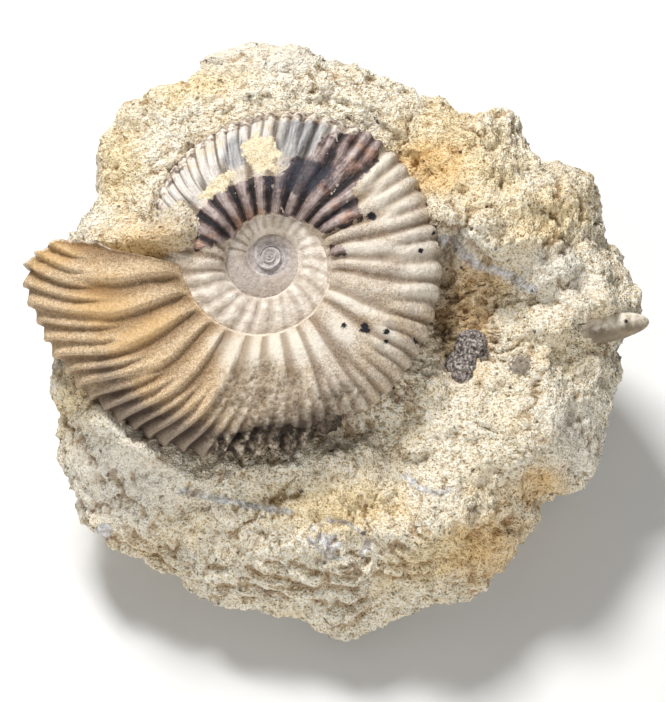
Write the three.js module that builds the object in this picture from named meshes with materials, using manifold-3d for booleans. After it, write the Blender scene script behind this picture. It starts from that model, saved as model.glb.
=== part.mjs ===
// A ribbed ammonite half freed from a loose block of sandy limestone.
// Millimetres, +Z up. The block rests on its flat underside, centred on the origin.
import * as THREE from "three";
import Module from "manifold-3d";

const wasm = await Module();
wasm.setup();

// The worked face of the block leans back; its own frame is u right, v up the face, w out of it.
const FACE_CENTRE = [-15, 1, 57.5];
const FACE_LEAN = 35;
const GAP = 0.3;

// Ammonite: a coiled cone. Turns are counted back from the mouth.
const COIL_TILT = -13;
const WHORL_RATIO = 2.07;
const OUTER_RADII = [50.8, 44.0, 39.1, 35.7, 35.5, 35.5, 33.4, 29.1];
const SEAM_RADIUS = 18.3;
const COIL_SHIFT = -1.5;
const OVERLAP = 0.56;
const HALF_THICK = 0.24;
const SHOULDER = 0.28;
const VENTER_POWER = 2.6;
const MOUTH_TURN = 7.6 / 360;

// Ribs: one strong rib at the inner margin splits into three at the outer edge.
const RIBS_TO_SEAM = 25 + 1 / 3;
const RIB_SWING = 8 / 360;
const RIB_HEIGHT = 0.026;
const SPLIT_HEIGHT = 0.019;
const RIB_CREST = 0.7;

// Matrix: outline of the face (u, v), clockwise from the mouth of the ammonite.
const OUTLINE = [
  [-42.8, 2.6], [-40.7, 10.2], [-37.5, 14.3], [-37.9, 19.3], [-36.7, 26.3], [-33.2, 31.3],
  [-30.9, 35.4], [-23.9, 39.1], [-19.6, 40.2], [-12.7, 45.0], [-5.5, 47.7], [1.0, 48.3],
  [8.6, 45.9], [18.8, 42.8], [28.1, 38.9], [37.8, 35.2], [44.6, 33.0], [50.2, 34.5],
  [54.1, 31.1], [55.8, 26.5], [58.8, 21.9], [63.1, 21.9], [67.4, 20.2], [71.1, 13.9],
  [72.5, 5.2], [76.0, 2.6], [78.1, -3.9], [80.6, -9.1], [79.3, -13.4], [74.7, -16.6],
  [74.7, -23.9], [72.4, -35.7], [68.3, -47.1], [60.1, -50.5], [55.4, -57.1], [47.6, -67.4],
  [43.3, -70.5], [31.1, -73.3], [23.2, -76.9], [15.7, -80.3], [6.5, -75.9], [-11.7, -72.5],
  [-24.5, -64.2], [-37.0, -56.5], [-42.0, -48.2], [-45.3, -37.0], [-45.1, -31.0],
  [-46.9, -24.6], [-45.2, -14.2], [-43.6, -5.6],
];
const FACE_MIDDLE = [14, -15];
const RIM_LEVEL = -11.6;
const RIM_SLOPE = -0.053;
const FACE_LEVEL = -1.5;
const FACE_SLOPE = -0.14;
const EDGE_POWER = 4;
const EDGE_ROUND = 0.55;
const BASE_HALF = [50, 43];
const COLUMNS = 100;
const FACE_RINGS = [0.2, 0.36, 0.5, 0.62, 0.72, 0.8, 0.87, 0.925, 0.965, 0.99, 1];
const SIDE_RINGS = [0.14, 0.32, 0.52, 0.72, 0.88, 1];

// Lumps and hollows of the face: centre u, v, height, half length, half width, turn in degrees.
const LUMPS = [
  [-25, 5, 13, 11, 7, 0],
  [-38, 5, 14, 7, 6, 0],
  [-16.5, 6, 4.5, 5, 6, 0],
  [-24.8, 25.6, 4, 16, 14, 0],
  [7, 37, 3, 26, 9, -8],
  [48.7, 15, 3.5, 14, 12, 0],
  [64.5, 12, 4, 9, 9, 0],
  [42, -9, -5.5, 10, 9, 0],
  [38, -19, -2.5, 7, 6, 40],
  [61, -29, 4.5, 15, 13, 0],
  [-40, -27, 6, 6, 5, 0],
  [-31, -35, 8, 13, 5, -38],
  [-3, -43.5, 4, 20, 5, 0],
  [10, -57, 5.5, 30, 8, 4],
  [70, -10, 3.5, 10, 6, 20],
];

// Broken ledges: two ends u, v, the rise to the left of the line, its softness
// and the run-out past its ends.
const LEDGES = [
  [34, 6.5, 58, -6.5, 5.5, 3.5, 7],
  [34, -64, 63, -39, 7, 5, 10],
  [58, 14, 44, 34, 3, 3.5, 8],
];

const MATRIX_TONE = { color: 0xb9a07c, roughness: 0.95, metalness: 0 };
const SHELL_TONE = { color: 0xc2ad8f, roughness: 0.7, metalness: 0 };
const FINGER_TONE = { color: 0x9a917c, roughness: 0.55, metalness: 0 };
const NODULE_TONE = { color: 0x5d554c, roughness: 0.9, metalness: 0 };

function smoothStep(low, high, value) {
  const share = Math.min(1, Math.max(0, (value - low) / (high - low)));
  return share * share * (3 - 2 * share);
}

// A closed solid from points and outward-facing triangles.
function solidOf(points, triangles) {
  const mesh = new wasm.Mesh({
    numProp: 3,
    vertProperties: new Float32Array(points.flat()),
    triVerts: new Uint32Array(triangles.flat()),
  });
  mesh.merge();
  return new wasm.Manifold(mesh);
}

function solidOfGeometry(geometry) {
  const place = geometry.getAttribute("position");
  const points = [];
  const known = new Map();
  const order = [];
  for (let i = 0; i < place.count; i += 1) {
    const point = [place.getX(i), place.getY(i), place.getZ(i)];
    const key = point.map((value) => Math.round(value * 1e4)).join(",");
    if (!known.has(key)) {
      known.set(key, points.length);
      points.push(point);
    }
    order.push(known.get(key));
  }
  const corners = geometry.index ? Array.from(geometry.index.array, (i) => order[i]) : order;
  const triangles = [];
  for (let i = 0; i < corners.length; i += 3) {
    const [a, b, c] = [corners[i], corners[i + 1], corners[i + 2]];
    if (a !== b && b !== c && c !== a) {
      triangles.push([a, b, c]);
    }
  }
  return solidOf(points, triangles);
}

function meshOf(name, solid, tone) {
  const made = solid.getMesh();
  const step = made.numProp;
  const points = new Float32Array((made.vertProperties.length / step) * 3);
  for (let i = 0; i < points.length / 3; i += 1) {
    points[3 * i] = made.vertProperties[step * i];
    points[3 * i + 1] = made.vertProperties[step * i + 1];
    points[3 * i + 2] = made.vertProperties[step * i + 2];
  }
  const geometry = new THREE.BufferGeometry();
  geometry.setAttribute("position", new THREE.BufferAttribute(points, 3));
  geometry.setIndex(new THREE.BufferAttribute(new Uint32Array(made.triVerts), 1));
  geometry.computeVertexNormals();
  const mesh = new THREE.Mesh(geometry, new THREE.MeshStandardMaterial(tone));
  mesh.name = name;
  return mesh;
}

// The largest of the bodies that a cut leaves.
function mainBody(solid) {
  const bodies = solid.decompose();
  return bodies.reduce((best, body) => (body.volume() > best.volume() ? body : best));
}

// Frames: the leaning face, and the coil's own plane tilted on it.
const face = new THREE.Group();
face.position.set(...FACE_CENTRE);
face.rotation.x = THREE.MathUtils.degToRad(FACE_LEAN);
const coil = new THREE.Group();
coil.rotation.x = THREE.MathUtils.degToRad(COIL_TILT);
coil.position.y = COIL_SHIFT;
face.add(coil);
face.updateMatrixWorld(true);
const intoFace = face.matrixWorld.clone().invert();

// Outer radius a number of turns back from the mouth: log of the radius on a smooth curve.
function outerRadius(turns) {
  const step = turns * OUTER_RADII.length;
  const first = Math.floor(step);
  const share = step - first;
  const count = OUTER_RADII.length;
  const logs = [-1, 0, 1, 2].map((shift) => {
    const index = first + shift;
    const lap = Math.floor(index / count);
    return Math.log(OUTER_RADII[index - lap * count]) - lap * Math.log(WHORL_RATIO);
  });
  const bend = 2 * logs[0] - 5 * logs[1] + 4 * logs[2] - logs[3];
  const twist = 3 * (logs[1] - logs[2]) + logs[3] - logs[0];
  const slope = logs[2] - logs[0];
  return Math.exp(logs[1] + 0.5 * share * (slope + share * (bend + share * twist)));
}

// Height share of the whorl across its width: umbilical slope, full flank, rounded outer edge.
function flankShare(x) {
  const shoulder = 1 / (1 - ((OVERLAP - SHOULDER) / (1 - SHOULDER)) ** VENTER_POWER) ** 0.4;
  const wall = 1 / (WHORL_RATIO * shoulder);
  if (x < SHOULDER) {
    return 1 - (1 - wall) * (1 - x / SHOULDER) ** 2;
  }
  const out = Math.min(1, (x - SHOULDER) / (1 - SHOULDER));
  return (1 - out ** VENTER_POWER) ** 0.4;
}

// One rib: slow rise toward the crest, quick fall behind it.
function ribWave(phase) {
  const share = phase - Math.floor(phase);
  return share < RIB_CREST
    ? smoothStep(0, RIB_CREST, share)
    : 1 - smoothStep(RIB_CREST, 1, share);
}

function ribAdvance(rib, x) {
  const swing = RIB_SWING * x ** 2.2;
  const lip = (7.6 * x + 6.3 * Math.sin(Math.PI * x ** 1.6)) / 360;
  const near = Math.exp(-((rib / 1.4) ** 2));
  return swing + (lip - swing) * near;
}

// Point of the shell for a rib count from the mouth and a share of the whorl's width.
const ribsPerTurn = RIBS_TO_SEAM / (1 + RIB_SWING * OVERLAP ** 2.2);

function shellPoint(rib, x, ribbed, grow, side) {
  const turns = MOUTH_TURN + rib / ribsPerTurn - ribAdvance(rib, x);
  const outer = outerRadius(turns);
  const inner = SEAM_RADIUS * WHORL_RATIO ** -turns;
  const width = outer - inner;
  const thick = HALF_THICK * outer;
  const low = Math.max(0, x - 0.01);
  const high = Math.min(1, x + 0.01);
  const rise = (thick * (flankShare(high) - flankShare(low))) / (width * (high - low));
  const lean = Math.hypot(rise, 1);
  const strong = RIB_HEIGHT * smoothStep(0, 0.2, x) * (1 - 0.5 * smoothStep(0.45, 0.75, x));
  const split = SPLIT_HEIGHT * smoothStep(0.4, 0.68, x);
  const wave = ribbed ? strong * ribWave(rib) + split * ribWave(3 * rib) : strong + split;
  const lift = (side > 0 ? wave * outer : (strong + split) * outer) + grow;
  const radius = inner + x * width - (lift * rise) / lean;
  const height = side * (thick * flankShare(x) + lift / lean);
  const angle = Math.PI + 2 * Math.PI * turns;
  return [radius * Math.cos(angle), radius * Math.sin(angle), height];
}

// The coil as one closed body: an outer whorl, an inner whorl that meets it along the seam,
// a plain underside and a broken mouth. Columns run along ribs and the valleys between them.
function coilSolid(ribbed, grow, columnsPerLap, start) {
  const lap = columnsPerLap;
  const innerShares = [0, 0.22, 0.4, OVERLAP];
  const outerShares = [0.68, 0.8, 0.9, 0.965, 1];
  const shares = [...innerShares, ...outerShares];
  const seamRow = innerShares.length - 1;
  const last = shares.length - 1;
  const underShares = [0.86, 0.45];
  const points = [];
  const triangles = [];
  const rows = new Map();
  const ribAt = (column) => {
    const spread = (column * RIBS_TO_SEAM) / lap;
    const valley = Math.floor(column / 2) / 3;
    const plain = start + spread * (1 - start / (2 * RIBS_TO_SEAM));
    return ribbed ? valley + ((column % 2) * RIB_CREST) / 3 : plain;
  };
  const add = (point) => points.push(point) - 1;
  const id = (column, row) => {
    const key = column >= lap && row === seamRow ? [column - lap, 0] : [column, row];
    const name = key.join(",");
    if (!rows.has(name)) {
      rows.set(name, add(shellPoint(ribAt(key[0]), shares[key[1]], ribbed, grow, 1)));
    }
    return rows.get(name);
  };
  const quad = (a, b, c, d) => {
    triangles.push([a, b, c], [a, c, d]);
  };
  for (let column = 0; column < 2 * lap; column += 1) {
    const top = column < lap ? last : seamRow;
    for (let row = 0; row < top; row += 1) {
      quad(id(column, row), id(column, row + 1), id(column + 1, row + 1), id(column + 1, row));
    }
  }
  const heart = shellPoint(2 * RIBS_TO_SEAM, 0, ribbed, grow, 1);
  const crown = add([0, 0, heart[2]]);
  for (let column = lap; column < 2 * lap; column += 1) {
    triangles.push([crown, id(column, 0), id(column + 1, 0)]);
  }
  for (let row = 0; row < seamRow; row += 1) {
    triangles.push([crown, id(2 * lap, row), id(2 * lap, row + 1)]);
  }
  const under = [];
  for (let column = 0; column <= lap; column += 1) {
    const rib = ribAt(column);
    under.push(underShares.map((x) => add(shellPoint(rib, x, ribbed, grow, -1))));
  }
  const keel = add([0, 3 * grow, -0.8 * HALF_THICK * OUTER_RADII[4] - grow]);
  for (let column = 0; column < lap; column += 1) {
    const here = [id(column, last), ...under[column]];
    const next = [id(column + 1, last), ...under[column + 1]];
    quad(here[0], here[1], next[1], next[0]);
    quad(here[1], here[2], next[2], next[1]);
    triangles.push([here[2], keel, next[2]]);
  }
  const young = [id(lap, seamRow)];
  const old = [id(0, 0)];
  for (let row = 1; row <= last; row += 1) {
    old.push(id(0, row));
  }
  for (let row = seamRow + 1; row <= last; row += 1) {
    young.push(id(lap, row));
  }
  old.push(...under[0], keel);
  young.push(...under[lap], keel);
  let a = 0;
  let b = 0;
  while (a < old.length - 1 || b < young.length - 1) {
    const shareA = (a + 1) / (old.length - 1);
    const shareB = (b + 1) / (young.length - 1);
    if (a < old.length - 1 && (shareA <= shareB || b === young.length - 1)) {
      triangles.push([old[a], young[b], old[a + 1]]);
      a += 1;
    } else {
      triangles.push([old[a], young[b], young[b + 1]]);
      b += 1;
    }
  }
  return solidOf(points, triangles.filter(([p, q, r]) => p !== q && q !== r && r !== p));
}

// Outline of the face as a smooth closed curve.
const outline = new THREE.CatmullRomCurve3(
  OUTLINE.map(([u, v]) => new THREE.Vector3(u, v, 0)),
  true,
  "centripetal",
);

function unevenness(u, v) {
  const broad = Math.sin(0.21 * u + 0.13 * v + 1.1) * Math.sin(0.17 * v - 0.08 * u + 0.4);
  const small = Math.sin(0.47 * u - 0.29 * v + 2.3) * Math.sin(0.41 * v + 0.33 * u + 0.9);
  return 1.2 * broad + 0.9 * small;
}

// Level of the worked face before it rounds off to the rim.
function faceLevel(u, v) {
  let level = FACE_LEVEL + FACE_SLOPE * v + unevenness(u, v);
  for (const [cu, cv, height, long, wide, turn] of LUMPS) {
    const angle = THREE.MathUtils.degToRad(turn);
    const along = ((u - cu) * Math.cos(angle) + (v - cv) * Math.sin(angle)) / long;
    const across = ((v - cv) * Math.cos(angle) - (u - cu) * Math.sin(angle)) / wide;
    level += height * Math.exp(-along * along - across * across);
  }
  for (const [au, av, bu, bv, rise, soft, ends] of LEDGES) {
    const length = Math.hypot(bu - au, bv - av);
    const along = ((u - au) * (bu - au) + (v - av) * (bv - av)) / length;
    const left = ((v - av) * (bu - au) - (u - au) * (bv - av)) / length;
    const inside = smoothStep(-ends, 0, along) * (1 - smoothStep(length, length + ends, along));
    level += rise * inside * smoothStep(-soft, soft, left) * (1 - smoothStep(5, 20, left));
  }
  return level;
}

function facePoint(rim, share) {
  const u = FACE_MIDDLE[0] + (rim.x - FACE_MIDDLE[0]) * share;
  const v = FACE_MIDDLE[1] + (rim.y - FACE_MIDDLE[1]) * share;
  const edge = RIM_LEVEL + RIM_SLOPE * rim.y;
  const round = (1 - share ** EDGE_POWER) ** EDGE_ROUND;
  const point = new THREE.Vector3(u, v, edge + (faceLevel(u, v) - edge) * round);
  return point.applyMatrix4(face.matrixWorld);
}

// Side of the block: leaves the rim, drops behind it and curves in to the flat underside.
function sidePoint(rim, share) {
  const start = facePoint(rim, 1);
  const angle = Math.atan2(start.y, start.x);
  const end = new THREE.Vector3(BASE_HALF[0] * Math.cos(angle), BASE_HALF[1] * Math.sin(angle), 0);
  const bend = start.clone().applyMatrix4(intoFace);
  bend.x = FACE_MIDDLE[0] + (bend.x - FACE_MIDDLE[0]) * 0.97;
  bend.y = FACE_MIDDLE[1] + (bend.y - FACE_MIDDLE[1]) * 0.97;
  bend.z -= 0.35 * start.z;
  bend.applyMatrix4(face.matrixWorld);
  const curve = new THREE.QuadraticBezierCurve3(start, bend, end);
  const point = curve.getPoint(share);
  const bulge = 1.2 * Math.sin(Math.PI * share) * Math.sin(5 * angle + 7 * share);
  point.x += bulge * Math.cos(angle);
  point.y += bulge * Math.sin(angle);
  return point;
}

function blockSolid() {
  const rims = [];
  for (let column = 0; column < COLUMNS; column += 1) {
    rims.push(outline.getPointAt(1 - column / COLUMNS));
  }
  const points = [facePoint(rims[0], 0).toArray()];
  for (const share of FACE_RINGS) {
    rims.forEach((rim) => points.push(facePoint(rim, share).toArray()));
  }
  for (const share of SIDE_RINGS) {
    rims.forEach((rim) => points.push(sidePoint(rim, share).toArray()));
  }
  points.push([9, 6, 0]);
  const triangles = [];
  const rings = FACE_RINGS.length + SIDE_RINGS.length;
  for (let column = 0; column < COLUMNS; column += 1) {
    const next = (column + 1) % COLUMNS;
    triangles.push([0, 1 + column, 1 + next]);
    for (let ring = 0; ring < rings - 1; ring += 1) {
      const here = 1 + ring * COLUMNS;
      const there = here + COLUMNS;
      triangles.push([here + column, there + column, there + next]);
      triangles.push([here + column, there + next, here + next]);
    }
    const rest = 1 + (rings - 1) * COLUMNS;
    triangles.push([points.length - 1, rest + next, rest + column]);
  }
  return solidOf(points, triangles);
}

// Belemnite: a smooth finger with a blunt point, lying in the right edge of the block.
const FINGER_TIP = [80.5, -12.2, -5.0];
const FINGER_ROOT = [59, -18.2, -3.4];
const FINGER_RADIUS = 3;

function fingerGeometry(grow) {
  const tip = new THREE.Vector3(...FINGER_TIP);
  const root = new THREE.Vector3(...FINGER_ROOT);
  const length = tip.distanceTo(root);
  const radius = FINGER_RADIUS + grow;
  const profile = [new THREE.Vector2(0, -grow), new THREE.Vector2(0.92 * radius, -grow)];
  for (const share of [0.25, 0.5, 0.68, 0.8, 0.88, 0.94, 0.98]) {
    const swell = Math.sqrt(1 - Math.max(0, (share - 0.5) / 0.5) ** 2.2);
    profile.push(new THREE.Vector2(radius * swell, share * (length + grow)));
  }
  profile.push(new THREE.Vector2(0, length + grow));
  const geometry = new THREE.LatheGeometry(profile, 24);
  const turn = new THREE.Quaternion();
  turn.setFromUnitVectors(new THREE.Vector3(0, 1, 0), tip.clone().sub(root).normalize());
  geometry.applyQuaternion(turn);
  geometry.translate(...FINGER_ROOT);
  return geometry;
}

// Dark nodule: rough lobes grown into a kidney; centre u, v, w, then half sizes.
const NODULE_LOBES = [
  [43.6, -17.6, -2.0, 3.2, 2.9, 2.8],
  [40.4, -22.4, -1.2, 3.9, 3.5, 3.1],
  [42.4, -20.0, -1.9, 2.6, 2.8, 2.6],
];

function lobeSolid([u, v, w, long, wide, deep], grow) {
  const geometry = new THREE.IcosahedronGeometry(1, 2);
  const place = geometry.getAttribute("position");
  for (let i = 0; i < place.count; i += 1) {
    const [x, y, z] = [place.getX(i), place.getY(i), place.getZ(i)];
    const rough = 1 + 0.11 * Math.sin(5 * x + 4 * z + u) * Math.sin(6 * y - 3 * x + v);
    place.setXYZ(
      i,
      u + x * (long * rough + grow),
      v + y * (wide * rough + grow),
      w + z * (deep * rough + grow),
    );
  }
  return solidOfGeometry(geometry);
}

function noduleSolid(grow) {
  return NODULE_LOBES.map((lobe) => lobeSolid(lobe, grow)).reduce((all, lobe) => all.add(lobe));
}

const lapColumns = Math.round(6 * RIBS_TO_SEAM);
const shell = coilSolid(true, 0, lapColumns, 0);
const finger = solidOfGeometry(fingerGeometry(0));
const nodule = noduleSolid(0);

const coilSeat = coilSolid(false, GAP + 0.2, lapColumns / 4, -0.3);
const fingerSeat = solidOfGeometry(fingerGeometry(GAP));
const noduleSeat = noduleSolid(GAP);
const block = mainBody(
  blockSolid()
    .subtract(coilSeat.transform(coil.matrixWorld.elements))
    .subtract(fingerSeat.transform(face.matrixWorld.elements))
    .subtract(noduleSeat.transform(face.matrixWorld.elements)),
);

const part = new THREE.Group();
part.name = "ammonite_in_matrix";
part.add(meshOf("matrix", block, MATRIX_TONE), face);
coil.add(meshOf("ammonite", shell, SHELL_TONE));
face.add(meshOf("belemnite", finger, FINGER_TONE), meshOf("dark_nodule", nodule, NODULE_TONE));

export default part;
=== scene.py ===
import math
import bpy
import numpy as np
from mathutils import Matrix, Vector


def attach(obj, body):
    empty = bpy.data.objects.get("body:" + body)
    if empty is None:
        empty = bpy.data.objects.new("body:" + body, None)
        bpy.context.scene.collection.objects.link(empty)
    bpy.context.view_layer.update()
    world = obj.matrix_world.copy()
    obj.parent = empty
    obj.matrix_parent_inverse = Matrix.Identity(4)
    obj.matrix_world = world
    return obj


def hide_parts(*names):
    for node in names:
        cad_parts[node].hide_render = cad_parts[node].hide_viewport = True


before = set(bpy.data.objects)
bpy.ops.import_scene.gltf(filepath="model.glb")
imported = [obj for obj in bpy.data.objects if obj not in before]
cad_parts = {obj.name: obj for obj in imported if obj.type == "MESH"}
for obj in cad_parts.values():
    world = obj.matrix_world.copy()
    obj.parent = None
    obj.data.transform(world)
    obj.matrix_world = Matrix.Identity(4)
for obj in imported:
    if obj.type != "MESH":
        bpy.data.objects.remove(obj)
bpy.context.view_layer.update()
print("frame loaded")

# the block's worked face leans back; u runs right, v up the face, w out of it, all in millimetres
faceFrame = {"centre": (-15.0, 1.0, 57.5), "lean": 35.0, "coilTilt": -13.0, "coilShift": -1.5}

view = {
    "elevation": 55.0,
    "aim": (13.46, -18.77, 0.0),  # point of the face in the middle of the picture
    "distance": 420.0,
    "tall": 147.42,  # millimetres of the face over the picture's height
}


# rotation about the x axis, then a shift
def faceToWorld(u, v, w):
    lean = math.radians(faceFrame["lean"])
    cx, cy, cz = faceFrame["centre"]
    y = cy + v * math.cos(lean) - w * math.sin(lean)
    z = cz + v * math.sin(lean) + w * math.cos(lean)
    return np.stack([cx + u, y, z], axis=-1)


# the inverse turn
def worldToFace(points):
    lean = math.radians(faceFrame["lean"])
    cx, cy, cz = faceFrame["centre"]
    y = points[..., 1] - cy
    z = points[..., 2] - cz
    v = y * math.cos(lean) + z * math.sin(lean)
    w = z * math.cos(lean) - y * math.sin(lean)
    return points[..., 0] - cx, v, w


# coil plane a, b with height c, tilted about u and shifted along v
def coilToFace(a, b, c):
    tilt = math.radians(faceFrame["coilTilt"])
    v = faceFrame["coilShift"] + b * math.cos(tilt) - c * math.sin(tilt)
    return a, v, b * math.sin(tilt) + c * math.cos(tilt)


# the inverse of that
def faceToCoil(u, v, w):
    tilt = math.radians(faceFrame["coilTilt"])
    v = v - faceFrame["coilShift"]
    return u, v * math.cos(tilt) + w * math.sin(tilt), w * math.cos(tilt) - v * math.sin(tilt)


# where the sight line through a point crosses the plane w = 0: marks are laid out in that plane
def sightPlane(u, v, w):
    near = 1.0 - w / view["distance"]
    au, av, _ = view["aim"]
    return au + (u - au) / near, av + (v - av) / near


# cubic ease between two bounds
def ease(low, high, value):
    share = np.clip((value - low) / (high - low), 0.0, 1.0)
    return share * share * (3.0 - 2.0 * share)


# whole-number hash of lattice cells, as shares from 0 to 1
def cellHash(cell, seed):
    mixed = cell[..., 0] * 73856093 ^ cell[..., 1] * 19349663 ^ cell[..., 2] * 83492791
    mixed = (mixed ^ (seed * 2654435761)) & 0xFFFFFFFF
    mixed = ((mixed ^ (mixed >> 15)) * 2246822519) & 0xFFFFFFFF
    mixed = ((mixed ^ (mixed >> 13)) * 3266489917) & 0xFFFFFFFF
    return ((mixed ^ (mixed >> 16)) & 0xFFFFFF) / 16777215.0


# lattice noise: eight corner slopes blended by a quintic fade, about -1 to 1
def slopeNoise(points, size, seed):
    scaled = points / size
    cell = np.floor(scaled).astype(np.int64)
    part = scaled - cell
    fade = part ** 3 * (part * (part * 6.0 - 15.0) + 10.0)
    total = np.zeros(points.shape[:-1])
    for corner in np.ndindex(2, 2, 2):
        shift = np.array(corner)
        turn = 2.0 * math.pi * cellHash(cell + shift, seed)
        rise = 2.0 * cellHash(cell + shift, seed + 31) - 1.0
        flat = np.sqrt(1.0 - rise * rise)
        slope = np.stack([flat * np.cos(turn), flat * np.sin(turn), rise], axis=-1)
        weight = np.prod(np.where(shift == 1, fade, 1.0 - fade), axis=-1)
        total += weight * np.sum(slope * (part - shift), axis=-1)
    return 1.7 * total


# octaves of the lattice noise, each half the size and a share of the height of the last
def stackedNoise(points, size, octaves, gain, seed):
    total = np.zeros(points.shape[:-1])
    for octave in range(octaves):
        total += gain ** octave * slopeNoise(points, size / 2.0 ** octave, seed + 7 * octave)
    return total


# scattered points, one to a cell: distance to the nearest, its random share and a tilted plane through it
def scatter(points, size, seed):
    scaled = points / size
    cell = np.floor(scaled).astype(np.int64)
    best = np.full(points.shape[:-1], 9.0)
    share = np.zeros(points.shape[:-1])
    plane = np.zeros(points.shape[:-1])
    for step in np.ndindex(3, 3, 3):
        near = cell + np.array(step) - 1
        spot = near + np.stack([cellHash(near, seed + n) for n in range(3)], axis=-1)
        away = scaled - spot
        far = np.sqrt(np.sum(away * away, axis=-1))
        tilt = np.stack([cellHash(near, seed + 11 + n) for n in range(3)], axis=-1) - 0.5
        closer = far < best
        best = np.where(closer, far, best)
        share = np.where(closer, cellHash(near, seed + 23), share)
        plane = np.where(closer, np.sum(tilt * away, axis=-1), plane)
    return best * size, share, plane


# ellipse field: one minus the scaled distance from the centre, above zero inside
def blob(u, v, centreU, centreV, halfU, halfV, turn=0.0):
    angle = math.radians(turn)
    along = (u - centreU) * math.cos(angle) + (v - centreV) * math.sin(angle)
    across = (v - centreV) * math.cos(angle) - (u - centreU) * math.sin(angle)
    return 1.0 - np.sqrt((along / halfU) ** 2 + (across / halfV) ** 2)


# distance to a chain of straight lines
def chainDistance(u, v, corners):
    best = np.full(u.shape, 1e9)
    for (au, av), (bu, bv) in zip(corners[:-1], corners[1:]):
        run = (bu - au) ** 2 + (bv - av) ** 2
        share = np.clip(((u - au) * (bu - au) + (v - av) * (bv - av)) / run, 0.0, 1.0)
        best = np.minimum(best, np.hypot(u - au - share * (bu - au), v - av - share * (bv - av)))
    return best


# signed distance to a closed outline, above zero inside by the crossing rule
def patch(u, v, corners):
    inside = np.zeros(u.shape, dtype=bool)
    for (au, av), (bu, bv) in zip(corners, corners[1:] + corners[:1]):
        crosses = (av > v) != (bv > v)
        reach = au + (v - av) * (bu - au) / (bv - av if bv != av else 1e-9)
        inside ^= crosses & (u < reach)
    far = chainDistance(u, v, corners + corners[:1])
    return np.where(inside, far, -far)


# outward unit normals of a grid of points, rows by columns, wrapped round the columns
def gridNormals(points):
    down = np.gradient(points, axis=0)
    around = np.roll(points, -1, axis=1) - np.roll(points, 1, axis=1)
    normal = np.cross(down, around)
    return normal / np.maximum(np.linalg.norm(normal, axis=-1, keepdims=True), 1e-9)


# closed mesh from a grid that wraps round its columns, with a pole vertex at each end of the rows
def gridPiece(name, points, firstPole, lastPole, fields):
    rows, columns, _ = points.shape
    row, column = np.meshgrid(np.arange(rows - 1), np.arange(columns), indexing="ij")
    beside = (column + 1) % columns
    quads = np.stack([row * columns + column, (row + 1) * columns + column, (row + 1) * columns + beside,
                      row * columns + beside], axis=-1).reshape(-1, 4)
    ring = np.arange(columns)
    following = (ring + 1) % columns
    first = np.full(columns, rows * columns)
    last = first + 1
    caps = np.concatenate([np.stack([first, ring, following], axis=-1),
                           np.stack([last, (rows - 1) * columns + following, (rows - 1) * columns + ring],
                                    axis=-1)])
    places = np.concatenate([points.reshape(-1, 3), [firstPole], [lastPole]]) * 0.001
    corners = np.concatenate([quads.ravel(), caps.ravel()]).astype(np.int32)
    totals = np.concatenate([np.full(len(quads), 4), np.full(len(caps), 3)]).astype(np.int32)
    starts = np.concatenate([[0], np.cumsum(totals)[:-1]]).astype(np.int32)
    mesh = bpy.data.meshes.new(name)
    mesh.vertices.add(len(places))
    mesh.vertices.foreach_set("co", places.astype(np.float32).ravel())
    mesh.loops.add(len(corners))
    mesh.loops.foreach_set("vertex_index", corners)
    mesh.polygons.add(len(totals))
    mesh.polygons.foreach_set("loop_start", starts)
    mesh.polygons.foreach_set("use_smooth", np.ones(len(totals), dtype=bool))
    mesh.update(calc_edges=True)
    mesh.validate()
    for field, values in fields.items():
        layer = mesh.attributes.new(field, "FLOAT", "POINT")
        ends = [np.mean(values[0]), np.mean(values[-1])]
        layer.data.foreach_set("value", np.concatenate([values.ravel(), ends]).astype(np.float32))
    piece = bpy.data.objects.new(name, mesh)
    bpy.context.scene.collection.objects.link(piece)
    return piece


# ammonite

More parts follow.
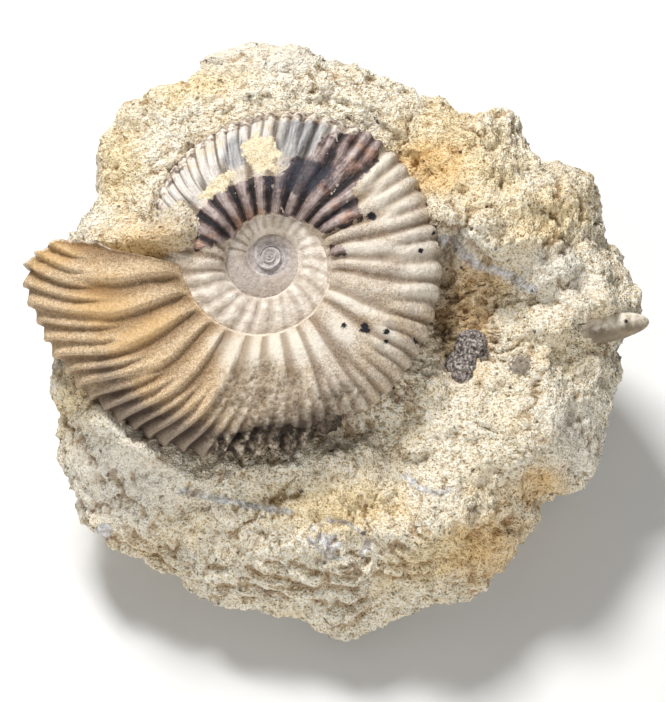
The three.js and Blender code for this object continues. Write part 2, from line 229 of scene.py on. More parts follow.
coil = {
    # outer edge, each eighth turn back from the mouth
    "radii": [50.8, 44.0, 39.1, 35.7, 35.5, 35.5, 33.4, 29.1],
    "whorlRatio": 2.07,
    "seamRadius": 18.3,
    "overlap": 0.56,
    "halfThick": 0.24,
    "shoulder": 0.28,
    "venterPower": 2.6,
    "mouthTurn": 2.9 / 360.0,
    "ribsPerTurn": 25.3,
    # how far the outer end of a rib runs ahead of its inner end, and how far its middle bows back, in degrees
    "swing": ((-0.1, 0.04, 0.065, 0.09, 0.2, 0.3, 0.35, 0.45, 0.55, 0.65, 0.75, 0.85, 1.0),
              (11, 11.3, 12, 13, 10.5, 4, -1, -3, 0, 2, 5, 9, 9)),
    "bow": ((-0.1, 0.05, 0.2, 0.3, 0.35, 0.5, 0.65, 0.75, 0.85, 1.0),
            (3.6, 3.2, 2.6, 0, -2.8, -4, -4.5, -2, 0, 1)),
    # valleys between the strong ribs: degrees back from the mouth and their count
    "valleys": ((-40, 11.2, 24.0, 37.3, 49.2, 61.0, 127.5, 146.6, 158.4, 173, 184, 223.6, 250,
                 291.4, 319.6, 370, 720),
                (-3.5, 0, 1, 2, 3, 4, 9, 10, 11, 12, 13, 16.6, 18.6, 21.6, 23.6, 27.2, 51.8)),
    # valleys between the finer ribs at the outer edge
    "splits": ((-40, 0.8, 63.6, 150, 156.8, 162.7, 170.9, 177.7, 186.2, 192.5, 204.5, 230, 370),
               (-8.3, 0, 13.3, 29.5, 30.5, 31.5, 32.5, 33.5, 34.5, 35.5, 37.5, 41.8, 69.8)),
    # broken lip: share of the whorl's width and degrees ahead of its inner end
    "lip": ((0.0, 0.15, 0.21, 0.31, 0.41, 0.455, 0.49, 0.55, 0.67, 0.726, 0.83, 0.93, 1.0),
            (0.0, 0.6, 1.3, 3.1, 4.3, 5.5, 7.0, 6.6, 6.8, 7.3, 4.4, 2.8, 2.6)),
    # how steep the ribs' fore sides are along the whorl, and where their tops are flat, in turns
    "keen": ((0.0, 0.2, 0.32, 0.5, 0.7, 0.8, 1.0, 1.05), (1.0, 1.0, 0.5, 0.2, 0.5, 0.4, 0.4, 0.2)),
    "flatTop": ((0.74, 0.82, 0.98, 1.02), (0.0, 1.0, 1.0, 0.0)),
    # the small whorls sit off the middle of the big one, in millimetres
    "coreShift": (0.3, 2.4),
    "ribHeight": 0.03,
    "splitHeight": 0.026,
    "ribCrest": 0.78,
    "columns": (690, 300, 110, 50, 30, 20, 14),  # steps along each whorl
    "topRows": 66,
    "underRows": 13,
}


# log of the radius on a smooth curve through the eight radii, repeating smaller by the whorl ratio
def outerRadius(turns):
    radii = np.log(np.array(coil["radii"]))
    step = turns * len(radii)
    first = np.floor(step).astype(int)
    share = step - first
    logs = []
    for shift in (-1, 0, 1, 2):
        lap, place = np.divmod(first + shift, len(radii))
        logs.append(radii[place] - lap * math.log(coil["whorlRatio"]))
    bend = 2.0 * logs[0] - 5.0 * logs[1] + 4.0 * logs[2] - logs[3]
    twist = 3.0 * (logs[1] - logs[2]) + logs[3] - logs[0]
    return np.exp(logs[1] + 0.5 * share * (logs[2] - logs[0] + share * (bend + share * twist)))


# height across the whorl: a parabola up from the seam, then a rounded power curve to the outer edge
def flankShare(x):
    power = coil["venterPower"]
    start = coil["shoulder"]
    full = (1.0 - ((coil["overlap"] - start) / (1.0 - start)) ** power) ** 0.4
    wall = full / coil["whorlRatio"]
    rise = 1.0 - (1.0 - wall) * (1.0 - np.clip(x, -0.1, start) / start) ** 2
    out = np.clip((x - start) / (1.0 - start), 0.0, 1.0)
    return np.where(x < start, rise, (1.0 - out ** power) ** 0.4)


# one rib: a cosine swell; where keen, a slow rise and a steep fall; or a flat top with thin valleys
def ribWave(phase, turns, flatShare):
    share = phase - np.floor(phase)
    crest = coil["ribCrest"]
    saw = np.where(share < crest, (share / crest) ** 1.3, 1.0 - ease(crest, 1.0, share))
    soft = 0.5 - 0.5 * np.cos(2.0 * math.pi * share)
    flat = ease(0.0, 0.25, share) * ease(1.0, 0.84, share)
    wave = soft + (saw - soft) * np.interp(turns, *coil["keen"])
    return wave + (flat - wave) * flatShare * np.interp(turns, *coil["flatTop"])


# the line of a rib, in degrees ahead of its inner end: a power curve less a sine bow
def ribLine(turns, x):
    out = np.clip(x, 0.0, 1.0)
    swing = np.interp(turns, *coil["swing"])
    bow = np.interp(turns, *coil["bow"])
    return swing * out ** 2.5 - bow * np.sin(math.pi * out ** 0.8)


# the broken lip, in degrees ahead of its inner end, fading away from the mouth into even columns
def lipLine(rib, x):
    return np.interp(x, *coil["lip"]) * np.exp(-((rib / 4.0) ** 2))


# the tube's surface: turns and share of the whorl's width give radius, height and the slope of the flank
def coilSurface(turns, x):
    outer = outerRadius(turns) * (1.0 + 0.2 * ease(1.4, 2.0, turns))
    inner = coil["seamRadius"] * coil["whorlRatio"] ** -turns
    thick = coil["halfThick"] * outer
    low = np.clip(x - 0.006, -0.05, 1.0)
    high = np.clip(x + 0.006, -0.05, 1.0)
    slope = thick * (flankShare(high) - flankShare(low)) / ((outer - inner) * (high - low))
    lean = np.hypot(slope, 1.0)
    return outer, inner + x * (outer - inner), thick * flankShare(x), slope / lean, 1.0 / lean


ammoniteMarks = {
    # outlines in millimetres from the coil's centre, as seen from the viewing side
    "brownShell": [(-15.4, 2.0), (-11.0, 3.6), (-7.4, 5.0), (-5.2, 8.0), (-2.2, 9.9), (0.8, 10.3),
                   (4.6, 9.5), (8.8, 7.8), (12.0, 5.8), (16.0, 7.4), (19.6, 9.0), (18.8, 12.0),
                   (17.2, 15.2), (19.8, 17.8), (22.8, 21.2), (23.4, 24.8), (19.8, 26.9), (17.0, 26.0),
                   (13.8, 26.8), (10.9, 25.6), (8.8, 22.0), (4.8, 21.8), (3.6, 18.8), (0.0, 17.8),
                   (-3.3, 17.4), (-8.3, 15.7), (-12.4, 13.6), (-15.7, 9.0), (-16.4, 7.0), (-15.8, 4.4)],
    "brownChip": [(12.6, 3.8), (16.0, 3.2), (16.8, 1.6), (15.2, 0.6), (13.0, 1.2)],
    "sandPatch": [(-5.6, 24.6), (-4.0, 25.2), (-2.6, 27.0), (-1.2, 25.6), (1.0, 26.2), (1.4, 23.6),
                  (2.8, 22.2), (1.2, 20.6), (1.8, 18.8), (-1.0, 18.8), (-2.2, 18.0), (-4.2, 20.0),
                  (-5.4, 22.2)],
    "sandStrip": [(-14.7, 13.3), (-11.6, 16.6), (-8.6, 19.2), (-6.6, 18.8), (-7.4, 16.8), (-10.4, 14.2),
                  (-13.6, 12.2)],
    "spots": [(21.6, 9.5, 0.9), (20.3, -14.1, 1.0), (24.9, -14.8, 0.7), (24.7, -16.8, 0.55),
              (15.9, -13.5, 0.6), (31.9, 2.4, 0.6), (36.2, 3.9, 0.5), (30.9, -16.8, 0.5), (34.7, 6.0, 0.4),
              (11.7, -0.3, 0.35), (9.3, -2.2, 0.3), (7.2, 17.4, 0.5)],
    # ellipses: centre, half sizes, turn
    "worn": [(1.0, -29.0, 11.0, 8.5, 0.0), (13.0, -33.0, 9.0, 6.5, 20.0)],
    "brokenEdge": [(2.0, -38.0, 17.0, 4.2, 3.0), (14.0, -36.0, 8.0, 4.0, 15.0)],
    "ochre": [(-35.0, -9.0, 7.0, 5.0, 0.0), (-44.0, 2.0, 7.0, 3.0, 25.0), (-26.0, -15.0, 8.0, 3.0, 30.0)],
    # painted shade, grey mauve, where the outer edge curves under at the lower left
    "mauveShade": [(-22.5, -35.2, 12.0, 4.0, -28.0), (-8.0, -40.0, 13.0, 4.2, -5.0)],
    "smoothed": [(-3.0, -18.5, 8.0, 5.0, -10.0), (6.0, -18.5, 9.0, 4.5, 5.0)],
    "blueShell": [(6.4, 25.6, 6.5, 4.4, 30.0), (-7.0, 22.8, 2.4, 4.0, -10.0)],
    "whiteShell": [(-15.0, 22.0, 16.0, 11.0, 35.0), (4.0, 27.0, 14.0, 5.0, 5.0)],
    "chalk": [(-5.0, -19.0, 7.0, 4.0, -10.0), (4.0, -17.6, 9.0, 3.6, 5.0), (25.0, 15.0, 4.5, 9.0, 20.0),
              (22.0, 2.0, 8.0, 2.2, 0.0), (19.0, -8.5, 7.0, 2.0, -25.0), (15.5, -14.0, 2.8, 2.8, 0.0),
              (24.8, -15.6, 2.8, 3.0, 0.0), (32.0, -2.0, 4.0, 8.0, 0.0)],
    "inkBlue": (7.0, 17.6, 6.5, 3.6, 15.0),
}


# the highest of several ellipse fields
def spread(u, v, marks):
    return np.max([blob(u, v, *mark) for mark in marks], axis=0)


# the tube swept round the coil, lifted along its normal by ribs and wear, closed at the mouth and the middle
def buildAmmonite():
    laps = [np.linspace(n, n + 1, count, endpoint=False) for n, count in enumerate(coil["columns"])]
    rib = np.concatenate(laps + [[len(laps)]]) * coil["ribsPerTurn"]
    rise = np.linspace(0.0, 1.0, coil["topRows"])
    top = 1.0 - (1.0 - rise) ** 1.6  # closer rows toward the outer edge
    top = -0.015 + 1.015 * (0.72 * top + 0.28 * rise)
    under = np.linspace(1.0, 0.0, coil["underRows"] + 2)[1:] ** 0.8
    side = np.concatenate([np.ones(len(top)), -np.ones(len(under))])
    rib, x = np.meshgrid(rib, np.concatenate([top, under]), indexing="ij")
    side = np.broadcast_to(side, x.shape)
    turns = coil["mouthTurn"] + rib / coil["ribsPerTurn"] - lipLine(rib, x) / 360.0
    outer, radius, height, normalOut, normalUp = coilSurface(turns, x)
    angle = math.pi + 2.0 * math.pi * turns
    core = ease(0.95, 1.8, turns)
    coreA, coreB = [core * shift for shift in coil["coreShift"]]
    u, v, w = coilToFace(coreA + radius * np.cos(angle), coreB + radius * np.sin(angle), side * height)
    markU, markV = sightPlane(u, v, w)
    away = np.stack([u, v, w], axis=-1)
    lastLap = (side > 0) & (turns > 0.45) & (turns < 1.02)
    young = ease(0.98, 1.06, turns)
    heart = ease(1.75, 2.1, turns)
    # ribs: strong ones over the inner flank, each split in three toward the outer edge
    count = np.interp(360.0 * turns + ribLine(turns, x), *coil["valleys"])
    count = count + 0.05 * np.sin(2.9 * count + 2.0) * ease(3.0, 5.0, count)
    count = count + 0.04 * slopeNoise(away, 9.0, 5)
    strong = ribWave(count, turns, 0.0)
    line = 360.0 * turns + ribLine(turns, x) - ribLine(turns, np.ones(x.shape))
    fineCount = np.interp(line, *coil["splits"]) + 0.1 * slopeNoise(away, 9.0, 7)
    split = ribWave(fineCount, turns, 1.0)
    start = 0.08 * slopeNoise(np.stack([1.7 * count, 0 * x, 0 * x], axis=-1), 1.0, 6)
    strongShare = coil["ribHeight"] * ease(-0.02, 0.16, x) * (1.0 - 0.7 * ease(0.5, 0.8, x))
    strongShare = strongShare * (1.0 - young * 0.7 * ease(1.2, 1.4, turns))
    splitShare = coil["splitHeight"] * ease(0.5, 0.74, x + start) * (1.0 - young)
    firm = (1.0 + 0.2 * slopeNoise(away, 16.0, 9)) * (1.0 - 0.4 * np.interp(turns, *coil["flatTop"]))
    worn = spread(markU, markV, ammoniteMarks["worn"]) + 0.3 * stackedNoise(away, 6.0, 2, 0.5, 3)
    worn = ease(-0.12, 0.35, worn) * ((side > 0) & (turns < 0.8))
    smoothed = ease(0.0, 0.5, spread(markU, markV, ammoniteMarks["smoothed"])) * (turns < 0.8)
    firm = firm * (1.0 - 0.85 * worn) * (1.0 - 0.6 * smoothed)
    lift = outer * (strongShare * strong + splitShare * split) * firm * np.where(side > 0, 1.0, 0.7)
    full = np.maximum(strongShare + splitShare, 1e-4)
    # crest: share of the rib's height, which the colour uses to paint highlights on crests and shade in
    # valleys
    crest = np.clip((strongShare * strong + splitShare * split) / full, 0.0, 1.0) * (1.0 - 0.6 * worn)
    crest = np.where(full < 0.004, 0.6, crest)
    # wear and breakage; the broken lower edge's colour also has painted shade in its dark holes
    brokenAndShade = spread(markU, markV, ammoniteMarks["brokenEdge"]) + 0.3 * slopeNoise(away, 4.0, 13)
    brokenAndShade = ease(-0.05, 0.4, brokenAndShade) * (x > 0.5) * (turns < 0.8)
    rough = stackedNoise(away, 3.0, 3, 0.65, 17) * (0.12 + 0.12 * ease(0.32, 0.4, turns))
    rough = rough * (1.0 - 0.7 * young)
    rough = rough + worn * (0.8 * stackedNoise(away, 4.5, 4, 0.66, 19) - 0.3)
    rough = rough + brokenAndShade * (1.7 * stackedNoise(away, 3.4, 3, 0.65, 21) - 0.8)
    far, pick, _ = scatter(away, 4.2, 25)
    rough = rough - 0.3 * ease(0.7, 0.2, far) * (pick > 0.86) * (1.0 - 0.8 * young)
    brown, brownChip, sand, sandStrip = [patch(markU, markV, ammoniteMarks[name])
                                         for name in ("brownShell", "brownChip", "sandPatch", "sandStrip")]
    brown = np.where(lastLap, np.maximum(brown, brownChip), -6.0)
    sand = np.where(lastLap, np.maximum(sand, sandStrip), -6.0)
    rough = rough + 0.25 * ease(-0.3, 0.3, brown)
    rough = rough + 0.45 * ease(-0.6, 0.8, sand) * (1.0 + slopeNoise(away, 1.6, 27))
    lift = lift * (1.0 - 0.8 * ease(-0.5, 0.8, sand)) + rough
    # the shell's lip stands a little proud of the hollow behind it
    lift = lift + 0.5 * ease(0.12, 0.0, rib) * (side > 0) * ease(0.0, 0.3, x)
    radius = radius - lift * normalOut - 1.3 * ease(0.3, 0.0, rib) * ease(0.86, 1.0, x)
    # inner whorls lie a step deeper at each seam
    height = height + lift * normalUp - 0.035 * outer * young - 1.1 * heart
    u, v, w = coilToFace(coreA + radius * np.cos(angle), coreB + radius * np.sin(angle), side * height)
    markU, markV = sightPlane(u, v, w)
    spots = [size - np.hypot(markU - su, markV - sv) for su, sv, size in ammoniteMarks["spots"]]
    spots = np.max(spots, axis=0)
    spots = np.where((side > 0) & (turns < 1.0), spots, -4.0)
    tan = ease(14.0, -16.0, markU + 0.55 * (markV + 22.0)) * ease(1.0, 0.72, turns) * (turns < 0.8)
    chamber = (turns < 0.8) & (side > 0)
    seam = ((side > 0) & (turns > 0.08) & (turns < 0.45)).astype(float)
    lap = 360.0 * turns
    # painted shade, grey mauve, on the lower left and along the outer edge where it curves under
    band = np.minimum(5.0 * (x - 0.8), np.minimum((lap - 36.0) / 25.0, (112.0 - lap) / 15.0))
    mauveShade = np.maximum(spread(markU, markV, ammoniteMarks["mauveShade"]), band)
    # painted shadow along the top of the inner whorls, below the step from the whorl round them
    coreStepShadow = ease(0.55, 0.95, x) * ease(0.2, 0.8, np.sin(angle)) * ((turns > 2.1) & (turns < 3.1) & (side > 0))
    fields = {
        "crest": (0.0, crest), "tan": (0.6, tan), "coreStepShadow": (0.0, coreStepShadow),
        "brownShell": (-6.0, brown), "sandPatch": (0.5, sand),
        "mauveShade": (-1.0, np.where(chamber, mauveShade, -1.0)),
        "inkSpots": (-4.0, spots), "worn": (1.0, worn), "heart": (0.0, heart),
        "paleRing": (0.0, young * (1.0 - heart)),
        "inkBlue": (-1.0, blob(markU, markV, *ammoniteMarks["inkBlue"])),
        "rim": (0.3, ease(0.1, 0.02, rib) * (side > 0) * ease(0.36, 0.44, x)), "reach": (20.0, radius),
        "seam": (0.0, seam), "across": (0.5, x),
        "ribCount": (0.0, fineCount),
        "margin": (0.0, ease(0.8, 0.93, x) * lastLap * ease(28.0, 18.0, markU)),
        "brokenAndShade": (0.0, brokenAndShade),
    }
    for name, within in (("ochre", chamber), ("chalk", chamber), ("blueShell", lastLap),
                         ("whiteShell", lastLap)):
        fields[name] = (-1.0, np.where(within, spread(markU, markV, ammoniteMarks[name]), -1.0))
    section = faceToWorld(u, v, w)
    # broken mouth: the section shrinks to its middle with a rough stony floor
    middle = section[0].mean(axis=0)
    shares = np.array([0.12, 0.3, 0.48, 0.64, 0.78, 0.89, 0.96])[:, None, None]
    floor = middle + (section[0] - middle) * shares
    ahead = (section[0] - section[1]).mean(axis=0)
    ahead = ahead / np.linalg.norm(ahead)
    bumps = 1.2 * stackedNoise(floor, 7.0, 3, 0.55, 33) * (1 - shares[..., 0] ** 6)
    floor = floor + ahead * bumps[..., None]
    points = np.concatenate([floor, section])
    blank = np.ones(floor.shape[:2])
    fields = {name: np.concatenate([blank * plain, values])[:, ::-1]
              for name, (plain, values) in fields.items()}
    return gridPiece("ammoniteShell", points[:, ::-1], middle, points[-1].mean(axis=0), fields)


# matrix block

block = {
    "outline": [
        (-42.8, 2.6), (-40.7, 10.2), (-37.5, 14.3), (-37.9, 19.3), (-36.7, 26.3), (-33.2, 31.3),
        (-30.9, 35.4), (-23.9, 39.1), (-19.6, 40.2), (-12.7, 45.0), (-5.5, 47.7), (1.0, 48.3),
        (8.6, 45.9), (18.8, 42.8), (28.1, 38.9), (37.8, 35.2), (44.6, 33.0), (50.2, 34.5), (54.1, 31.1),
        (55.8, 26.5), (58.8, 21.9), (63.1, 21.9), (67.4, 20.2), (71.1, 13.9), (72.5, 5.2), (76.0, 2.6),
        (77.6, -4.4), (79.4, -10.0), (78.6, -13.4), (74.7, -16.6), (74.7, -23.9), (72.4, -35.7),
        (68.3, -47.1), (60.1, -50.5), (55.4, -57.1), (47.6, -67.4), (43.3, -70.5), (31.1, -73.3),
        (23.2, -76.9), (15.7, -80.3), (6.5, -75.9), (-11.7, -72.5), (-24.5, -64.2), (-37.0, -56.5),
        (-42.0, -48.2), (-45.3, -37.0),
        (-45.1, -31.0), (-46.9, -24.6), (-45.2, -14.2), (-43.6, -5.6)],
    "middle": (14.0, -15.0),
    "rimLevel": -11.6,
    "rimSlope": -0.053,
    "faceLevel": -1.5,
    "faceSlope": -0.14,
    "edgePower": 4.0,
    "edgeRound": 0.55,
    "baseHalf": (50.0, 43.0),
    # lumps and hollows: centre u, v, height, half length, half width, turn
    "lumps": [(-25, 5, 13, 11, 6.3, 0), (-38, 5, 14, 7, 6, 0), (-17.5, 5.5, 4.5, 4, 5.5, 0),
              (-24.8, 25.6, 4, 16, 14, 0), (7, 37, 3, 26, 9, -8), (48.7, 15, 3.5, 14, 12, 0),
              (64.5, 12, 4, 9, 9, 0), (42, -9, -5.5, 10, 9, 0), (38, -19, -2.5, 7, 6, 40),
              (61, -29, 4.5, 15, 13, 0), (-40, -27, 6, 6, 5, 0), (-31, -35, 8, 13, 5, -38),
              (-3, -43.5, 4, 20, 5, 0), (10, -57, 4, 30, 9, 4), (70, -10, 3.5, 10, 6, 20),
              (37.4, -6.5, -4, 2, 10, -3)],
    # knobs that stand on the finished face
    "knobs": [(-41.8, -27.4, 5.0, 4.5, 4.0, 0), (-33.0, -34.6, 4.5, 8.0, 4.0, -28),
              (-21.0, -41.0, 3.5, 9.0, 3.6, -24), (69.5, -8.2, 4.6, 9.0, 3.0, 8),
              (61.0, -13.8, 2.4, 4.0, 3.2, 0)],
    # ledges: two ends, rise to the left of the line, softness, run-out past the ends
    "ledges": [(34, 6.5, 58, -6.5, 5.5, 3.5, 7), (34, -64, 63, -39, 7, 5, 10), (58, 14, 44, 34, 3, 3.5, 8)],
    "columns": 600,
    "faceRows": 118,
    "sideRows": 34,
}


# a closed curve through the outline's points with chord-length steps, read off at even distances
def smoothLoop(corners, count):
    points = np.array(corners, dtype=float)
    ahead = np.roll(points, -1, axis=0)
    chord = np.linalg.norm(ahead - points, axis=1)
    before = np.roll(chord, 1)
    slope = (np.roll(points, 1, axis=0) - points) / -before[:, None] * chord[:, None]
    slope = (slope + (ahead - points) / chord[:, None] * before[:, None]) / (before + chord)[:, None]
    share = np.linspace(0.0, 1.0, 40, endpoint=False)[:, None, None]
    reach = chord[:, None]
    curve = ((2 * share ** 3 - 3 * share ** 2 + 1) * points
             + (share ** 3 - 2 * share ** 2 + share) * reach * slope
             + (3 * share ** 2 - 2 * share ** 3) * ahead
             + (share ** 3 - share ** 2) * reach * np.roll(slope, -1, axis=0))
    curve = curve.transpose(1, 0, 2).reshape(-1, 2)
    closed = np.vstack([curve, curve[:1]])
    length = np.concatenate([[0], np.cumsum(np.linalg.norm(np.diff(closed, axis=0), axis=1))])
    even = np.linspace(0.0, length[-1], count, endpoint=False)
    return np.stack([np.interp(even, length, closed[:, n]) for n in (0, 1)], axis=-1)


# plane, waves, round lumps and straight ledges added up
def faceLevel(u, v):
    broad = np.sin(0.21 * u + 0.13 * v + 1.1) * np.sin(0.17 * v - 0.08 * u + 0.4)
    small = np.sin(0.47 * u - 0.29 * v + 2.3) * np.sin(0.41 * v + 0.33 * u + 0.9)
    level = block["faceLevel"] + block["faceSlope"] * v + 1.2 * broad + 0.9 * small
    for cu, cv, height, long, wide, turn in block["lumps"]:
        level = level + height * np.exp(-((1.0 - blob(u, v, cu, cv, long, wide, turn)) ** 2))
    for au, av, bu, bv, rise, soft, ends in block["ledges"]:
        length = math.hypot(bu - au, bv - av)
        along = ((u - au) * (bu - au) + (v - av) * (bv - av)) / length
        left = ((v - av) * (bu - au) - (u - au) * (bv - av)) / length
        inside = ease(-ends, 0.0, along) * (1.0 - ease(length, length + ends, along))
        level = level + rise * inside * ease(-soft, soft, left) * (1.0 - ease(5.0, 20.0, left))
    return level


# craggy relief: noise octaves, tilted chips in random cells, round pits, cracks where a noise is near zero
def rockRelief(points):
    _, _, coarse = scatter(points + 0.8 * slopeNoise(points, 3.0, 41)[..., None], 9.0, 43)
    _, _, fine = scatter(points + 0.5 * slopeNoise(points, 2.0, 47)[..., None], 4.2, 49)
    far, pick, _ = scatter(points + 0.4 * slopeNoise(points, 1.6, 50)[..., None], 3.8, 51)
    pits = -0.8 * ease(1.0, 0.2, far) * (pick > 0.84)
    lumps = 1.2 * slopeNoise(points, 7.5, 53)
    grain = 0.5 * slopeNoise(points, 3.2, 55) + 0.48 * slopeNoise(points, 1.7, 57)
    grain = grain + 0.4 * slopeNoise(points, 0.95, 59)
    flat = points * np.array([1.0, 1.0, 2.2])
    cracks = ease(0.07, 0.0, np.abs(slopeNoise(flat, 13.0, 64) + 0.25 * slopeNoise(flat, 4.0, 65)))
    cracks = -0.9 * cracks * ease(-0.05, 0.25, slopeNoise(points, 11.0, 66))
    # the second value marks pits, grain and cracks, which the rock's colour darkens as painted shade
    return lumps + 2.1 * coarse + 1.5 * fine + pits + grain + cracks, pits + grain + 0.5 * fine + 1.1 * cracks


# distance outside the coil's outer edge, negative under it
def coilDistance(u, v, w):
    a, b, _ = faceToCoil(u, v, w)
    turns = ((np.arctan2(b, a) - math.pi) / (2.0 * math.pi)) % 1.0
    return np.hypot(a, b) - outerRadius(turns)


blockMarks = {
    "orange": [(-27.0, 3.5, 10.0, 4.5, 0), (32.8, 19.5, 8.0, 5.5, 0), (42.0, -12.0, 6.0, 12.0, -10),
               (47.0, -60.0, 9.0, 7.0, 35), (44.0, -4.0, 7.0, 3.5, -30), (57.0, -47.0, 7.0, 4.0, 30)],
    "yellow": [(57.0, 8.8, 9.0, 6.0, 0), (-40.5, -28.0, 4.5, 4.0, 0), (40.0, 22.0, 14.0, 9.0, -30),
               (-14.0, 38.0, 12.0, 4.0, 20), (14.0, -52.0, 14.0, 5.0, 0), (36.0, -62.0, 12.0, 5.0, 20),
               (-31.0, 20.0, 5.0, 9.0, 0)],
    "pale": [(65.0, -37.0, 7.0, 8.0, 0), (-30.0, -45.0, 12.0, 10.0, 0), (62.0, -2.0, 8.0, 5.0, -30),
             (40.0, 2.0, 6.0, 3.5, -25), (-5.0, 44.0, 20.0, 4.0, 0)],
    "greyLedge": [(36.7, 4.5), (39.2, 4.4), (41.0, 1.4), (44.0, -0.7), (47.0, -1.8), (50.7, -2.8),
                  (55.5, -6.0)],
    "greyStrip": [(-18.6, -48.0), (-12.0, -49.6), (-5.0, -51.0), (4.5, -52.6)],
    "greyCrescent": [(28.8, -44.9), (31.5, -47.3), (35.0, -48.8), (38.0, -47.8)],
    "greySection": (14.8, -58.5, 6.8, 4.4, -15.0),
    "greyMiddle": (12.6, -59.0, 3.4, 2.2, -20.0),
    "mound": (-25.0, 5.5, 15.0, 9.0),
    "softMound": (-25.0, 3.0, 15.0, 6.0),
    "roughHollow": (42.0, -9.0, 8.0, 15.0),
    "whiteChip": (-34.6, -56.6, 2.0, 1.7, 45.0),
    "darkGrain": (52.9, -21.7, 2.6, 2.2, 20.0),
    # painted shadow in the crease along the ammonite's right edge
    "creaseShade": [(37.6, -5.5, 2.2, 12.0, -3.0), (43.0, -12.0, 5.0, 3.5, -40.0)],
}


